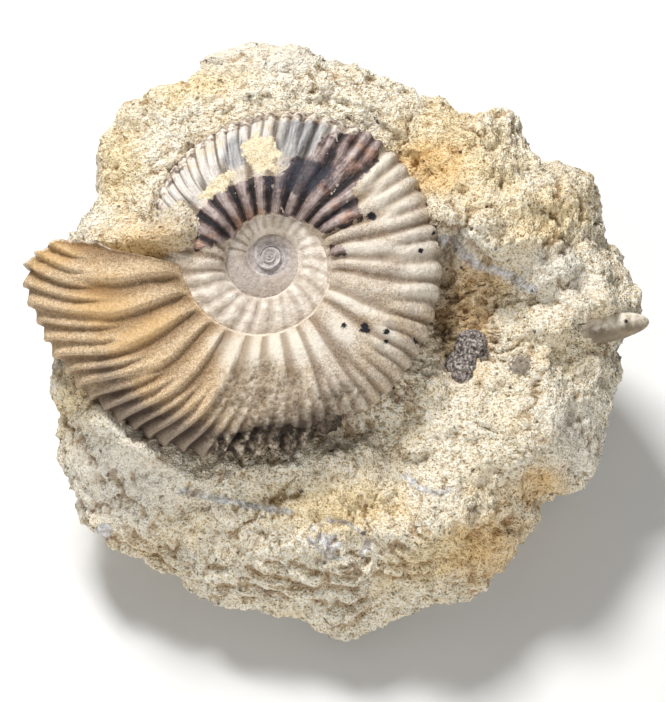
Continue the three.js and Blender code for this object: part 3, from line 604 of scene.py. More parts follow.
# rings from the middle of the face to the rim, curved sides and a flat base, moved along the normal by relief
def buildMatrix():
    rim = smoothLoop(block["outline"], block["columns"])[::-1]
    middle = np.array(block["middle"])
    share = np.sin(0.5 * math.pi * np.concatenate([[0.05], np.linspace(0.12, 1.0, block["faceRows"])]))
    flat = middle + (rim - middle) * share[:, None, None]
    u, v = flat[..., 0], flat[..., 1]
    edge = block["rimLevel"] + block["rimSlope"] * rim[:, 1]
    roundOff = np.clip(1.0 - share ** block["edgePower"], 0.0, 1.0)[:, None] ** block["edgeRound"]
    level = faceLevel(u, v)
    # the block lies lower under the coil, except where its mound covers the start of the last whorl
    under = coilDistance(u, v, level)
    mound = ease(-0.2, 0.3, blob(u, v, *blockMarks["mound"]))
    level = level - 4.5 * ease(-1.5, -8.0, under) * (1.0 - mound)
    raised = edge + (level - edge) * roundOff
    for cu, cv, height, long, wide, turn in block["knobs"]:
        bump = height * np.exp(-((1.0 - blob(u, v, cu, cv, long, wide, turn)) ** 2))
        raised = raised + bump * (1.0 - share ** 14)[:, None]
    face = faceToWorld(u, v, raised)
    # sides: a quadratic curve from the rim, behind it and in to the flat underside
    start = face[-1]
    angle = np.arctan2(start[:, 1], start[:, 0])
    end = np.stack([block["baseHalf"][0] * np.cos(angle), block["baseHalf"][1] * np.sin(angle),
                    0.0 * angle], axis=-1)
    bu, bv, bw = worldToFace(start)
    bu = middle[0] + (bu - middle[0]) * 0.97
    bv = middle[1] + (bv - middle[1]) * 0.97
    bend = faceToWorld(bu, bv, bw - 0.35 * start[:, 2])
    drop = np.linspace(0.0, 1.0, block["sideRows"] + 1)[1:, None, None] ** 0.85
    sides = (1 - drop) ** 2 * start + 2 * drop * (1 - drop) * bend + drop ** 2 * end
    bulge = 1.2 * np.sin(math.pi * drop[..., 0]) * np.sin(5.0 * angle + 7.0 * drop[..., 0])
    sides = sides + bulge[..., None] * np.stack([np.cos(angle), np.sin(angle), 0.0 * angle], axis=-1)
    base = end * np.array([0.985, 0.9, 0.6, 0.3])[:, None, None]
    points = np.concatenate([face, sides, base])
    normal = gridNormals(points)
    relief, small = rockRelief(points)
    # bedding: thin broken sheets low on the front, with painted shade in the gaps between them
    fu, fv, fw = worldToFace(points)
    front = ease(-46.0, -58.0, fv) * ease(6.0, 12.0, points[..., 2])
    sheets = points[..., 2] / 4.4 + 1.0 * slopeNoise(points, 17.0, 61) + 0.3 * slopeNoise(points, 5.0, 63)
    sheets = sheets - np.floor(sheets)
    sheets = ease(0.0, 0.7, sheets) - ease(0.7, 1.0, sheets)
    front = front * ease(-0.25, 0.3, slopeNoise(points, 12.0, 62) + 0.4 * slopeNoise(points, 4.0, 67))
    relief = relief + front * (1.5 * sheets - 0.6)
    small = small - 0.8 * front * ease(0.35, 0.0, sheets)
    # the hollow beside the shell is rougher with more painted shade, the mound behind the lip smoother, the
    # dark patch crumbly
    hollow = ease(-0.2, 0.4, blob(fu, fv, *blockMarks["roughHollow"]))
    rugged = stackedNoise(points, 3.0, 3, 0.7, 68)
    relief = relief + hollow * 1.1 * rugged
    small = small + hollow * (0.6 * rugged - 0.1)
    soft = ease(-0.1, 0.4, blob(fu, fv, *blockMarks["softMound"]))
    relief = relief * (1.0 - 0.5 * soft)
    small = small * (1.0 - 0.6 * soft)
    crumbs = ease(-0.1, 0.4, blob(fu, fv, *blockMarks["darkGrain"]))
    relief = relief + crumbs * (0.5 + 0.9 * slopeNoise(points, 1.1, 69))
    still = ease(0.0, 4.0, points[..., 2])
    still[-5:] = 0.0
    points = points + normal * (relief * still)[..., None]
    points[..., 2] = np.maximum(points[..., 2], 0.0)
    fu, fv, fw = worldToFace(points)
    markU, markV = sightPlane(fu, fv, fw)
    seen = np.concatenate([np.ones(face.shape[:2]), np.zeros(sides.shape[:2]), np.zeros(base.shape[:2])])
    warpU = markU + 1.6 * stackedNoise(points, 7.0, 3, 0.6, 71)
    warpV = markV + 1.6 * stackedNoise(points, 7.0, 3, 0.6, 73)
    stains = {}
    for name in ("orange", "yellow", "pale"):
        spot = np.maximum(spread(warpU, warpV, blockMarks[name]), -1.0)
        stains[name] = np.where(seen > 0, spot, 0.9 * stackedNoise(points, 22.0, 3, 0.6, len(name)) - 0.5)
    shell = 0.95 - chainDistance(markU, markV, blockMarks["greyLedge"])
    shell = np.maximum(shell, 0.6 - chainDistance(markU, markV, blockMarks["greyStrip"]))
    shell = np.maximum(shell, 0.5 - chainDistance(markU, markV, blockMarks["greyCrescent"]))
    oval = blob(markU, markV, *blockMarks["greySection"])
    shell = np.maximum(shell, 0.3 - 4.0 * np.abs(oval - 0.12))
    shell = np.maximum(shell, 1.2 * blob(markU, markV, *blockMarks["greyMiddle"]) - 0.3)
    chip = 2.0 * blob(markU, markV, *blockMarks["whiteChip"])
    shell = np.where(seen > 0, np.maximum(shell, chip), -3.0)
    grains = np.where(seen > 0, 2.0 * blob(markU, markV, *blockMarks["darkGrain"]), -3.0)
    contact = np.where(seen > 0, coilDistance(fu, fv, fw), 20.0)
    # painted shadow in the crease along the ammonite's right edge
    creaseShade = np.where(seen > 0, spread(warpU, warpV, blockMarks["creaseShade"]), -1.0)
    # hollow: the relief's low places, which the rock's colour darkens as painted shade
    fields = {"creaseShade": creaseShade, "greyShell": shell, "darkGrain": grains, "contact": contact,
              "hollow": small, **stains}
    return gridPiece("matrixRock", points, points[0].mean(axis=0), (0.0, 0.0, 0.0), fields)


# belemnite and nodule: rounded fingers

finger = {"root": (60.0, -15.4, -3.6), "tip": (80.6, -12.5, -4.8), "radius": 3.1, "rows": 90, "columns": 64,
          "chalk": [(72.2, -11.6, 3.2, 1.3, 25.0), (69.0, -13.6, 1.6, 0.7, 30.0)],
          "hole": (75.0, -12.6, 0.55)}
nodule = {"ends": ((44.6, -14.6, -2.2), (39.2, -25.6, -1.2)), "radius": 3.7, "rows": 110, "columns": 110}


# straight path with a radius that changes along it; the path's own frame carries a circle
def roundedFinger(start, end, shares, radii, columns, flatten=1.0):
    start = np.array(start)
    run = np.array(end) - start
    length = np.linalg.norm(run)
    along = run / length
    out = np.array([0.0, 0.0, 1.0])
    out = out - along * np.dot(out, along)
    out = out / np.linalg.norm(out)
    beside = np.cross(along, out)
    turn = np.linspace(0.0, 2.0 * math.pi, columns, endpoint=False)
    circle = np.cos(turn)[:, None] * beside + flatten * np.sin(turn)[:, None] * out
    return start + run * shares[:, None, None] + radii[:, None, None] * circle


# a rounded finger whose radius falls off to a blunt tip by a root of a power
def buildBelemnite():
    share = 0.5 - 0.5 * np.cos(math.pi * np.linspace(0.01, 0.995, finger["rows"]))
    swell = np.sqrt(np.clip(1.0 - np.clip((share - 0.5) / 0.5, 0.0, 1.0) ** 2.2, 0.0, 1.0))
    swell = swell * np.sqrt(np.clip(1.0 - np.clip((0.06 - share) / 0.06, 0.0, 1.0) ** 2, 0.0, 1.0))
    points = roundedFinger(finger["root"], finger["tip"], share, finger["radius"] * swell,
                           finger["columns"])
    normal = -gridNormals(points)
    points = points + normal * (0.12 * stackedNoise(points, 6.0, 3, 0.5, 81))[..., None]
    u, v, w = points[..., 0], points[..., 1], points[..., 2]
    markU, markV = sightPlane(u, v, w)
    axis = np.interp(markU, (finger["root"][0], finger["tip"][0]), (finger["root"][1], finger["tip"][1]))
    # the finger's upper side is made lighter through the same field as the chalky spots
    upper = 0.6 * (markV - axis - 0.1) * ease(63.0, 70.0, markU)
    chalk = np.maximum(spread(markU, markV, finger["chalk"]), upper)
    holeU, holeV, holeSize = finger["hole"]
    hole = holeSize - np.hypot(markU - holeU, markV - holeV)
    points = points - normal * (0.5 * ease(-0.2, 0.4, hole))[..., None]
    placed = faceToWorld(points[..., 0], points[..., 1], points[..., 2])
    fields = {"chalk": chalk, "hole": hole}
    tip = faceToWorld(*[np.array(n) for n in finger["tip"]])
    root = faceToWorld(*[np.array(n) for n in finger["root"]])
    return gridPiece("belemniteFinger", placed[:, ::-1], root, tip,
                     {n: f[:, ::-1] for n, f in fields.items()})


# a rounded finger with a waist, moved along its normal by noise
def buildNodule():
    share = 0.5 - 0.5 * np.cos(math.pi * np.linspace(0.012, 0.988, nodule["rows"]))
    ends = np.sqrt(np.clip(1.0 - np.abs(2.0 * share - 1.0) ** 2.6, 0.0, 1.0))
    waist = 1.0 - 0.16 * np.exp(-(((share - 0.46) / 0.13) ** 2)) + 0.12 * ease(0.5, 0.8, share)
    points = roundedFinger(*nodule["ends"], share, nodule["radius"] * ends * waist, nodule["columns"], 0.85)
    normal = -gridNormals(points)
    rough = 0.6 * stackedNoise(points, 3.0, 2, 0.6, 91) + 0.45 * slopeNoise(points, 1.0, 93)
    points = points + normal * (rough * ends[:, None])[..., None]
    placed = faceToWorld(points[..., 0], points[..., 1], points[..., 2])
    first = placed[0].mean(axis=0)
    last = placed[-1].mean(axis=0)
    return gridPiece("darkNodule", placed[:, ::-1], first, last, {})


# shader helpers

# an empty node group with named sockets
def makeGroup(name, inputs, outputs):
    group = bpy.data.node_groups.new(name, "ShaderNodeTree")
    for label, kind, value in inputs:
        socket = group.interface.new_socket(label, in_out="INPUT", socket_type=kind)
        if value is not None:
            socket.default_value = value
    for label, kind in outputs:
        group.interface.new_socket(label, in_out="OUTPUT", socket_type=kind)
    return group, group.nodes.new("NodeGroupInput"), group.nodes.new("NodeGroupOutput")


def link(tree, source, target):
    tree.links.new(source, target)


# a link or a plain value into a socket
def put(tree, socket, value):
    if isinstance(value, bpy.types.NodeSocket):
        tree.links.new(value, socket)
    else:
        socket.default_value = value


# one step of arithmetic
def sums(tree, operation, first, second=0.0, third=0.0, clamp=False):
    node = tree.nodes.new("ShaderNodeMath")
    node.operation = operation
    node.use_clamp = clamp
    for socket, value in zip(node.inputs, (first, second, third)):
        put(tree, socket, value)
    return node.outputs[0]


# smooth step from one range to another
def between(tree, value, low, high, bottom=0.0, top=1.0):
    node = tree.nodes.new("ShaderNodeMapRange")
    node.interpolation_type = "SMOOTHSTEP"
    for socket, number in zip(node.inputs[:5], (value, low, high, bottom, top)):
        put(tree, socket, number)
    return node.outputs[0]


# two colours mixed by a factor
def blend(tree, factor, first, second, kind="MIX"):
    node = tree.nodes.new("ShaderNodeMix")
    node.data_type = "RGBA"
    node.blend_type = kind
    put(tree, node.inputs["Factor"], factor)
    put(tree, node.inputs[6], first)
    put(tree, node.inputs[7], second)
    return node.outputs[2]


# cloudy noise from 0 to 1
def noise(tree, vector, scale, detail=3.0, roughness=0.55, distortion=0.0):
    node = tree.nodes.new("ShaderNodeTexNoise")
    for label, value in (("Vector", vector), ("Scale", scale), ("Detail", detail), ("Roughness", roughness),
                         ("Distortion", distortion)):
        put(tree, node.inputs[label], value)
    return node.outputs["Fac"]


# scattered cells
def cells(tree, vector, scale, feature="F1"):
    node = tree.nodes.new("ShaderNodeTexVoronoi")
    node.feature = feature
    put(tree, node.inputs["Vector"], vector)
    put(tree, node.inputs["Scale"], scale)
    return node


# a field stored on the mesh
def field(tree, name):
    node = tree.nodes.new("ShaderNodeAttribute")
    node.attribute_name = name
    return node.outputs["Fac"]


# a node group set into a material
def place(tree, group, **values):
    node = tree.nodes.new("ShaderNodeGroup")
    node.node_tree = group
    for label, value in values.items():
        put(tree, node.inputs[label], value)
    return node.outputs


# colours at stops along a value
def ramp(tree, factor, stops):
    node = tree.nodes.new("ShaderNodeValToRGB")
    points = node.color_ramp.elements
    while len(points) < len(stops):
        points.new(0.5)
    for point, (position, colour) in zip(points, stops):
        point.position = position
        point.color = (*colour, 1.0)
    put(tree, node.inputs["Fac"], factor)
    return node.outputs["Color"]


def startMaterial(name):
    material = bpy.data.materials.new(name)
    material.use_nodes = True
    tree = material.node_tree
    tree.nodes.clear()
    output = tree.nodes.new("ShaderNodeOutputMaterial")
    shader = tree.nodes.new("ShaderNodeBsdfPrincipled")
    tree.links.new(shader.outputs["BSDF"], output.inputs["Surface"])
    return material, tree, shader, tree.nodes.new("ShaderNodeTexCoord").outputs["Object"]


def finishBump(tree, shader, height, distance, strength=1.0):
    node = tree.nodes.new("ShaderNodeBump")
    node.inputs["Strength"].default_value = strength
    node.inputs["Distance"].default_value = distance
    tree.links.new(height, node.inputs["Height"])
    tree.links.new(node.outputs["Normal"], shader.inputs["Normal"])


# sand grains: fine noise against cells, giving a tone for each grain and a height
def sandGrainGroup():
    group, given, result = makeGroup("sandGrain",
                                     [("Vector", "NodeSocketVector", None),
                                      ("Scale", "NodeSocketFloat", 2300.0)],
                                     [("Tone", "NodeSocketFloat"), ("Height", "NodeSocketFloat")])
    vector, scale = given.outputs[:2]
    fine = noise(group, vector, scale, 2.0, 0.6)
    mid = noise(group, vector, sums(group, "MULTIPLY", scale, 0.4), 2.0, 0.6)
    grains = cells(group, vector, sums(group, "MULTIPLY", scale, 0.7))
    tone = sums(group, "MULTIPLY_ADD", fine, 0.8, sums(group, "MULTIPLY", mid, 0.6))
    tone = sums(group, "SUBTRACT", tone, sums(group, "MULTIPLY", grains.outputs["Distance"], 0.25))
    link(group, between(group, tone, 0.3, 0.82), result.inputs["Tone"])
    link(group, sums(group, "ADD", sums(group, "MULTIPLY", fine, 0.5), mid), result.inputs["Height"])
    return group


# ragged mask: a smooth field plus noise, cut at zero
def raggedGroup():
    group, given, result = makeGroup("raggedEdge",
                                     [("Vector", "NodeSocketVector", None),
                                      ("Field", "NodeSocketFloat", 0.0),
                                      ("Scale", "NodeSocketFloat", 700.0),
                                      ("Amount", "NodeSocketFloat", 1.0), ("Soft", "NodeSocketFloat", 0.1)],
                                     [("Mask", "NodeSocketFloat")])
    vector, value, scale, amount, soft = given.outputs[:5]
    shake = sums(group, "SUBTRACT", noise(group, vector, scale, 4.0, 0.65), 0.5)
    total = sums(group, "MULTIPLY_ADD", shake, amount, value)
    link(group, between(group, total, sums(group, "MULTIPLY", soft, -1.0), soft), result.inputs["Mask"])
    return group


# small dark pits in random cells
def pitGroup():
    group, given, result = makeGroup("pits",
                                     [("Vector", "NodeSocketVector", None),
                                      ("Scale", "NodeSocketFloat", 420.0),
                                      ("Share", "NodeSocketFloat", 0.1)],
                                     [("Mask", "NodeSocketFloat")])
    vector, scale, share = given.outputs[:3]
    hole = cells(group, vector, scale)
    pick = group.nodes.new("ShaderNodeSeparateColor")
    link(group, hole.outputs["Color"], pick.inputs[0])
    chosen = sums(group, "LESS_THAN", pick.outputs[0], share)
    shake = sums(group, "MULTIPLY", noise(group, vector, sums(group, "MULTIPLY", scale, 3.0), 2.0), 0.3)
    deep = between(group, sums(group, "ADD", hole.outputs["Distance"], shake), 0.5, 0.25)
    link(group, sums(group, "MULTIPLY", chosen, deep), result.inputs["Mask"])
    return group


sandGrain = sandGrainGroup()
ragged = raggedGroup()
pitMask = pitGroup()
print("shader groups made")


# ragged mask of a field
def torn(tree, spot, value, scale, amount, soft):
    return place(tree, ragged, Vector=spot, Field=value, Scale=scale, Amount=amount, Soft=soft)["Mask"]


# a shade laid on by a share of a mask
def tint(tree, mask, share, colour, shade, kind="MIX"):
    return blend(tree, sums(tree, "MULTIPLY", mask, share), colour, shade, kind)


def matrixMaterial():
    material, tree, shader, spot = startMaterial("sandyLimestone")
    grain = place(tree, sandGrain, Vector=spot, Scale=2500.0)
    colour = ramp(tree, grain["Tone"],
                  [(0.0, (0.3, 0.215, 0.12)), (0.22, (0.66, 0.545, 0.37)), (0.5, (0.87, 0.785, 0.61)),
                   (1.0, (0.97, 0.945, 0.86))])
    cloud = noise(tree, spot, 70.0, 4.0, 0.6)
    colour = blend(tree, between(tree, cloud, 0.47, 0.7, 0.0, 0.4), colour, (0.94, 0.8, 0.55, 1),
                   "MULTIPLY")
    greyCloud = noise(tree, spot, 170.0, 3.0, 0.6)
    colour = blend(tree, between(tree, greyCloud, 0.5, 0.68, 0.0, 0.4), colour, (0.76, 0.75, 0.75, 1),
                   "MULTIPLY")
    yellow = torn(tree, spot, field(tree, "yellow"), 260.0, 1.4, 0.6)
    colour = tint(tree, yellow, 0.65, colour, (1.0, 0.86, 0.58, 1), "MULTIPLY")
    orange = torn(tree, spot, field(tree, "orange"), 300.0, 1.4, 0.55)
    colour = tint(tree, orange, 0.7, colour, (0.93, 0.72, 0.45, 1), "MULTIPLY")
    pale = torn(tree, spot, field(tree, "pale"), 300.0, 1.2, 0.6)
    colour = tint(tree, pale, 0.4, colour, (0.88, 0.85, 0.79, 1))
    shell = torn(tree, spot, field(tree, "greyShell"), 700.0, 2.8, 0.4)
    mottled = noise(tree, spot, 800.0, 3.0, 0.65)
    shellTone = sums(tree, "MULTIPLY_ADD", field(tree, "greyShell"), 0.22, mottled)
    shellTone = ramp(tree, shellTone,
                     [(0.36, (0.2, 0.185, 0.17)), (0.5, (0.42, 0.41, 0.41)), (0.66, (0.82, 0.81, 0.83))])
    colour = tint(tree, shell, 0.85, colour, shellTone)
    dark = torn(tree, spot, field(tree, "darkGrain"), 1300.0, 4.5, 0.4)
    colour = tint(tree, dark, 0.75, colour, (0.17, 0.13, 0.11, 1))
    pits = place(tree, pitMask, Vector=spot, Scale=620.0, Share=0.06)
    colour = tint(tree, pits["Mask"], 0.7, colour, (0.16, 0.105, 0.055, 1))
    # painted shade: darker where the stored relief lies low, in pits, cracks, sheet gaps and the hollow
    # beside the shell
    low = between(tree, field(tree, "hollow"), -0.1, -0.7, 0.0, 0.7)
    colour = blend(tree, low, colour, (0.46, 0.33, 0.2, 1), "MULTIPLY")
    # painted shadow in the crease along the ammonite's right edge
    creaseShade = torn(tree, spot, field(tree, "creaseShade"), 420.0, 1.8, 0.35)
    colour = tint(tree, creaseShade, 0.45, colour, (0.34, 0.23, 0.13, 1), "MULTIPLY")
    # painted shade on the rock close round the ammonite's outer edge
    contactShade = between(tree, field(tree, "contact"), 1.4, 0.2, 0.0, 0.35)
    colour = blend(tree, contactShade, colour, (0.46, 0.36, 0.25, 1), "MULTIPLY")
    link(tree, colour, shader.inputs["Base Color"])
    shader.inputs["Roughness"].default_value = 0.93
    shader.inputs["Specular IOR Level"].default_value = 0.2
    height = sums(tree, "SUBTRACT", grain["Height"], sums(tree, "MULTIPLY", pits["Mask"], 1.0))
    finishBump(tree, shader, height, 0.0017, 0.85)
    return material


def ammoniteMaterial():
    material, tree, shader, spot = startMaterial("fossilShell")
    grain = place(tree, sandGrain, Vector=spot, Scale=4200.0)
    weather = noise(tree, spot, 1000.0, 3.0, 0.65)
    crest = between(tree, field(tree, "crest"), 0.0, 0.7)
    # streaks that run along the ribs
    along = tree.nodes.new("ShaderNodeCombineXYZ")
    link(tree, sums(tree, "MULTIPLY", field(tree, "ribCount"), 5.0), along.inputs[0])
    link(tree, sums(tree, "MULTIPLY", field(tree, "reach"), 0.22), along.inputs[1])
    streak = noise(tree, along.outputs[0], 1.0, 3.0, 0.6)
    cream = ramp(tree, grain["Tone"],
                 [(0.0, (0.36, 0.285, 0.21)), (0.5, (0.55, 0.465, 0.37)), (1.0, (0.73, 0.65, 0.55))])
    tanTone = ramp(tree, grain["Tone"],
                   [(0.0, (0.36, 0.24, 0.125)), (0.5, (0.55, 0.4, 0.24)), (1.0, (0.76, 0.61, 0.43))])
    tan = torn(tree, spot, sums(tree, "SUBTRACT", field(tree, "tan"), 0.45), 90.0, 0.9, 0.4)
    colour = blend(tree, tan, cream, tanTone)
    blotch = noise(tree, spot, 110.0, 4.0, 0.65)
    colour = blend(tree, between(tree, blotch, 0.48, 0.68, 0.0, 0.45), colour, (0.94, 0.8, 0.56, 1),
                   "MULTIPLY")
    colour = blend(tree, between(tree, blotch, 0.5, 0.34, 0.0, 0.5), colour, (0.78, 0.76, 0.77, 1),
                   "MULTIPLY")
    ochre = torn(tree, spot, field(tree, "ochre"), 160.0, 0.9, 0.45)
    colour = tint(tree, ochre, 0.45, colour, (0.62, 0.37, 0.13, 1))
    chalk = torn(tree, spot, field(tree, "chalk"), 260.0, 1.6, 0.5)
    colour = tint(tree, chalk, 0.62, colour, (0.82, 0.76, 0.66, 1))
    # painted shade, grey mauve, where the outer edge curves under at the lower left
    mauveShade = torn(tree, spot, field(tree, "mauveShade"), 160.0, 0.9, 0.5)
    colour = tint(tree, mauveShade, 0.66, colour, (0.15, 0.125, 0.118, 1))
    ringTone = ramp(tree, noise(tree, spot, 420.0, 4.0, 0.6),
                    [(0.3, (0.48, 0.4, 0.32)), (0.5, (0.66, 0.58, 0.49)), (0.7, (0.84, 0.78, 0.71))])
    colour = blend(tree, field(tree, "paleRing"), colour, ringTone)
    circles = sums(tree, "SINE", sums(tree, "MULTIPLY_ADD", field(tree, "reach"), 7.0,
                                      sums(tree, "MULTIPLY", noise(tree, spot, 330.0, 3.0), 22.0)))
    core = between(tree, field(tree, "reach"), 5.2, 3.6)
    circles = sums(tree, "MULTIPLY", circles, core)
    heartTone = sums(tree, "MULTIPLY_ADD", circles, 0.02, noise(tree, spot, 900.0, 4.0, 0.75))
    heartTone = sums(tree, "MULTIPLY_ADD", core, -0.05, heartTone)
    heartTone = ramp(tree, heartTone,
                     [(0.28, (0.32, 0.29, 0.285)), (0.44, (0.52, 0.475, 0.465)),
                      (0.66, (0.74, 0.69, 0.67))])
    heart = sums(tree, "MULTIPLY", field(tree, "heart"), sums(tree, "MULTIPLY_ADD", core, 0.4, 0.6))
    colour = blend(tree, heart, colour, heartTone)
    # painted shadow arc at the top of the inner whorls
    colour = tint(tree, field(tree, "coreStepShadow"), 0.75, colour, (0.4, 0.34, 0.32, 1), "MULTIPLY")
    # the last quarter keeps some shell: chalky white, blue-grey, brown, with sand stuck to it
    # the white, blue-grey and brown tones are lighter on rib crests and darker between them: painted
    # highlight and painted shade
    white = torn(tree, spot, field(tree, "whiteShell"), 260.0, 1.2, 0.3)
    whiteTone = ramp(tree, sums(tree, "MULTIPLY_ADD", crest, 0.3, sums(tree, "MULTIPLY", streak, 0.8)),
                     [(0.3, (0.25, 0.23, 0.215)), (0.55, (0.5, 0.46, 0.42)), (0.8, (0.8, 0.75, 0.69))])
    whiteTone = blend(tree, between(tree, blotch, 0.52, 0.6, 0.0, 0.6), whiteTone, (1.0, 0.9, 0.7, 1),
                      "MULTIPLY")
    colour = tint(tree, white, 0.9, colour, whiteTone)
    blue = torn(tree, spot, field(tree, "blueShell"), 300.0, 1.3, 0.3)
    blueTone = ramp(tree, sums(tree, "MULTIPLY_ADD", crest, 0.25, sums(tree, "MULTIPLY", streak, 0.85)),
                    [(0.35, (0.05, 0.05, 0.055)), (0.55, (0.2, 0.205, 0.215)), (0.78, (0.46, 0.45, 0.44))])
    colour = tint(tree, blue, 0.85, colour, blueTone)
    mottle = torn(tree, spot, sums(tree, "SUBTRACT", field(tree, "margin"), 0.5), 420.0, 1.6, 0.15)
    mottleTone = ramp(tree, noise(tree, spot, 700.0, 3.0, 0.6),
                      [(0.38, (0.09, 0.06, 0.05)), (0.5, (0.45, 0.36, 0.27)), (0.6, (0.8, 0.73, 0.62))])
    colour = tint(tree, mottle, 0.85, colour, mottleTone)
    wornTone = ramp(tree, weather, [(0.3, (0.26, 0.195, 0.13)), (0.46, (0.64, 0.55, 0.42)),
                                    (0.64, (0.95, 0.89, 0.77))])
    colour = tint(tree, field(tree, "worn"), 0.8, colour, wornTone)
    # broken lower edge: crumbly shell tones whose near-black spots are painted shade in its holes
    crumbs = ramp(tree, noise(tree, spot, 520.0, 4.0, 0.7),
                  [(0.44, (0.025, 0.02, 0.016)), (0.52, (0.26, 0.2, 0.14)), (0.64, (0.7, 0.62, 0.49))])
    colour = tint(tree, field(tree, "brokenAndShade"), 0.85, colour, crumbs)
    # painted shade in the rib valleys, half as strong on the pale ring
    valleyShade = sums(tree, "MULTIPLY_ADD", crest, -0.75, 0.75)
    valleyShade = sums(tree, "MULTIPLY", valleyShade, sums(tree, "MULTIPLY_ADD", field(tree, "paleRing"), -0.5, 1.0))
    colour = blend(tree, valleyShade, colour, (0.34, 0.26, 0.19, 1), "MULTIPLY")
    # deeper painted shade in the rib valleys of that zone
    mauveValleyShade = sums(tree, "MULTIPLY", mauveShade, sums(tree, "MULTIPLY_ADD", crest, -0.9, 0.9))
    colour = blend(tree, mauveValleyShade, colour, (0.2, 0.17, 0.17, 1), "MULTIPLY")
    brown = torn(tree, spot, field(tree, "brownShell"), 420.0, 3.6, 0.15)
    patchy = noise(tree, spot, 300.0, 4.0, 0.7)
    # brown tone: painted highlight on the rib crests, near black in the valleys as painted shade
    brownTone = sums(tree, "MULTIPLY_ADD", field(tree, "crest"), 0.55, sums(tree, "MULTIPLY", streak, 0.55))
    brownTone = sums(tree, "MULTIPLY_ADD", patchy, 0.75, sums(tree, "SUBTRACT", brownTone, 0.38))
    brownTone = ramp(tree, brownTone,
                     [(0.26, (0.01, 0.008, 0.009)), (0.42, (0.052, 0.036, 0.034)),
                      (0.56, (0.18, 0.125, 0.112)), (0.7, (0.37, 0.29, 0.27)), (0.9, (0.64, 0.55, 0.51))])
    rust = between(tree, noise(tree, spot, 130.0, 3.0, 0.6), 0.54, 0.66, 0.0, 0.75)
    brownTone = blend(tree, rust, brownTone, (1.0, 0.72, 0.5, 1), "MULTIPLY")
    chips = between(tree, noise(tree, spot, 620.0, 2.0, 0.5), 0.68, 0.72, 0.0, 0.8)
    brownTone = blend(tree, chips, brownTone, (0.62, 0.53, 0.45, 1))
    inkBlue = torn(tree, spot, field(tree, "inkBlue"), 420.0, 2.6, 0.3)
    brownTone = tint(tree, inkBlue, 0.8, brownTone, (0.026, 0.028, 0.042, 1))
    colour = blend(tree, brown, colour, brownTone)
    sand = torn(tree, spot, field(tree, "sandPatch"), 420.0, 3.6, 0.3)
    sandTone = ramp(tree, grain["Tone"],
                    [(0.0, (0.48, 0.37, 0.22)), (0.5, (0.72, 0.6, 0.4)), (1.0, (0.86, 0.78, 0.6))])
    colour = blend(tree, sand, colour, sandTone)
    thin = sums(tree, "MULTIPLY", field(tree, "seam"), between(tree, field(tree, "across"), 0.012, 0.006))
    thin = sums(tree, "MULTIPLY", thin, between(tree, field(tree, "across"), -0.006, 0.001))
    edge = sums(tree, "MAXIMUM", field(tree, "rim"), thin)
    rim = torn(tree, spot, sums(tree, "SUBTRACT", edge, 0.8), 800.0, 2.4, 0.25)
    colour = tint(tree, rim, 0.6, colour, (0.86, 0.78, 0.66, 1))
    ink = torn(tree, spot, field(tree, "inkSpots"), 900.0, 2.4, 0.2)
    colour = blend(tree, ink, colour, (0.012, 0.012, 0.016, 1))
    link(tree, colour, shader.inputs["Base Color"])
    gloss = sums(tree, "MULTIPLY_ADD", brown, -0.3, 0.84)
    link(tree, gloss, shader.inputs["Roughness"])
    shader.inputs["Specular IOR Level"].default_value = 0.3
    coarse = sums(tree, "MULTIPLY", weather, sums(tree, "MULTIPLY_ADD", field(tree, "worn"), 2.2, 0.9))
    height = sums(tree, "ADD", grain["Height"], coarse)
    height = sums(tree, "MULTIPLY_ADD", streak, sums(tree, "MULTIPLY", brown, 0.8), height)
    finishBump(tree, shader, height, 0.0004, 0.8)
    return material


def belemniteMaterial():
    material, tree, shader, spot = startMaterial("greyCalcite")
    body = ramp(tree, noise(tree, spot, 260.0, 4.0, 0.6),
                [(0.3, (0.12, 0.09, 0.06)), (0.5, (0.23, 0.18, 0.12)), (0.7, (0.38, 0.31, 0.21))])
    # lighter on chalky spots and along the finger's upper side
    chalk = torn(tree, spot, field(tree, "chalk"), 520.0, 2.0, 0.6)
    chalkTone = ramp(tree, noise(tree, spot, 700.0, 3.0, 0.6),
                     [(0.35, (0.5, 0.42, 0.31)), (0.6, (0.82, 0.76, 0.65))])
    colour = tint(tree, chalk, 0.85, body, chalkTone)
    colour = blend(tree, between(tree, field(tree, "hole"), 0.0, 0.3), colour, (0.02, 0.016, 0.012, 1))
    pits = place(tree, pitMask, Vector=spot, Scale=900.0, Share=0.15)
    colour = tint(tree, pits["Mask"], 0.5, colour, (0.08, 0.06, 0.04, 1))
    link(tree, colour, shader.inputs["Base Color"])
    shader.inputs["Roughness"].default_value = 0.6
    shader.inputs["Specular IOR Level"].default_value = 0.3
    grain = place(tree, sandGrain, Vector=spot, Scale=1600.0)
    finishBump(tree, shader, grain["Height"], 0.0001, 0.5)
    return material


def noduleMaterial():
    material, tree, shader, spot = startMaterial("darkStone")
    grain = place(tree, sandGrain, Vector=spot, Scale=2000.0)
    colour = ramp(tree, grain["Tone"],
                  [(0.0, (0.035, 0.028, 0.026)), (0.45, (0.16, 0.13, 0.115)), (1.0, (0.56, 0.5, 0.46))])
    link(tree, colour, shader.inputs["Base Color"])
    shader.inputs["Roughness"].default_value = 0.85
    finishBump(tree, shader, grain["Height"], 0.0012, 0.9)
    return material


def dress(piece, node, material):
    piece.data.materials.append(material)
    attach(piece, "root")
    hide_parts(node)
    print(node, "has", len(piece.data.polygons), "faces")


dress(buildMatrix(), "matrix", matrixMaterial())
dress(buildAmmonite(), "ammonite", ammoniteMaterial())
dress(buildBelemnite(), "belemnite", belemniteMaterial())
dress(buildNodule(), "dark_nodule", noduleMaterial())


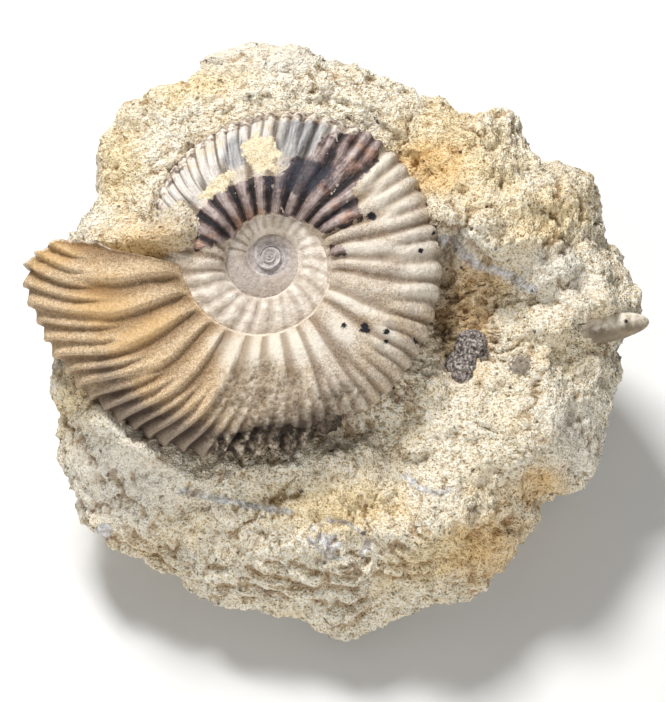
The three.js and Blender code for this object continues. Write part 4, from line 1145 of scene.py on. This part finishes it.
# studio: pale floor, soft light from above and behind, weaker fill from the front

studio = {
    "floor": (0.72, 0.72, 0.71, 1.0),
    "world": 0.27,
    "key": ((-0.2, 0.36, 0.74), 0.2, 8.6),
    "fill": ((-0.05, -0.82, 0.36), 0.7, 4.6),
}


def buildFloor():
    mesh = bpy.data.meshes.new("floor")
    corners = [(-3, -3, 0), (3, -3, 0), (3, 3, 0), (-3, 3, 0)]
    mesh.from_pydata(corners, [], [(0, 1, 2, 3)])
    floor = bpy.data.objects.new("floor", mesh)
    bpy.context.scene.collection.objects.link(floor)
    material, tree, shader, spot = startMaterial("paleFloor")
    shader.inputs["Base Color"].default_value = studio["floor"]
    shader.inputs["Roughness"].default_value = 0.9
    mesh.materials.append(material)


def addLight(name, spot, size, power):
    lamp = bpy.data.lights.new(name, "AREA")
    lamp.size = size
    lamp.energy = power
    holder = bpy.data.objects.new(name, lamp)
    holder.location = spot
    holder.rotation_euler = (Vector((0, 0, 0.04)) - Vector(spot)).to_track_quat("-Z", "Y").to_euler()
    bpy.context.scene.collection.objects.link(holder)


def addCamera():
    lens = bpy.data.cameras.new("camera")
    lens.sensor_width = 36.0
    lens.lens = 36.0 * view["distance"] / view["tall"]
    lens.clip_start = 0.01
    camera = bpy.data.objects.new("camera", lens)
    au, av, aw = view["aim"]
    spot = faceToWorld(np.array(au), np.array(av), np.array(aw + view["distance"])) * 0.001
    camera.location = Vector(spot.tolist())
    camera.rotation_euler = (math.radians(90.0 - view["elevation"]), 0.0, 0.0)
    bpy.context.scene.collection.objects.link(camera)
    bpy.context.scene.camera = camera


buildFloor()
addLight("key", *studio["key"])
addLight("fill", *studio["fill"])
world = bpy.data.worlds.new("studio")
world.use_nodes = True
world.node_tree.nodes["Background"].inputs["Color"].default_value = (1.0, 0.99, 0.97, 1.0)
world.node_tree.nodes["Background"].inputs["Strength"].default_value = studio["world"]
bpy.context.scene.world = world
bpy.context.scene.view_settings.view_transform = "Standard"
addCamera()
print("studio ready")
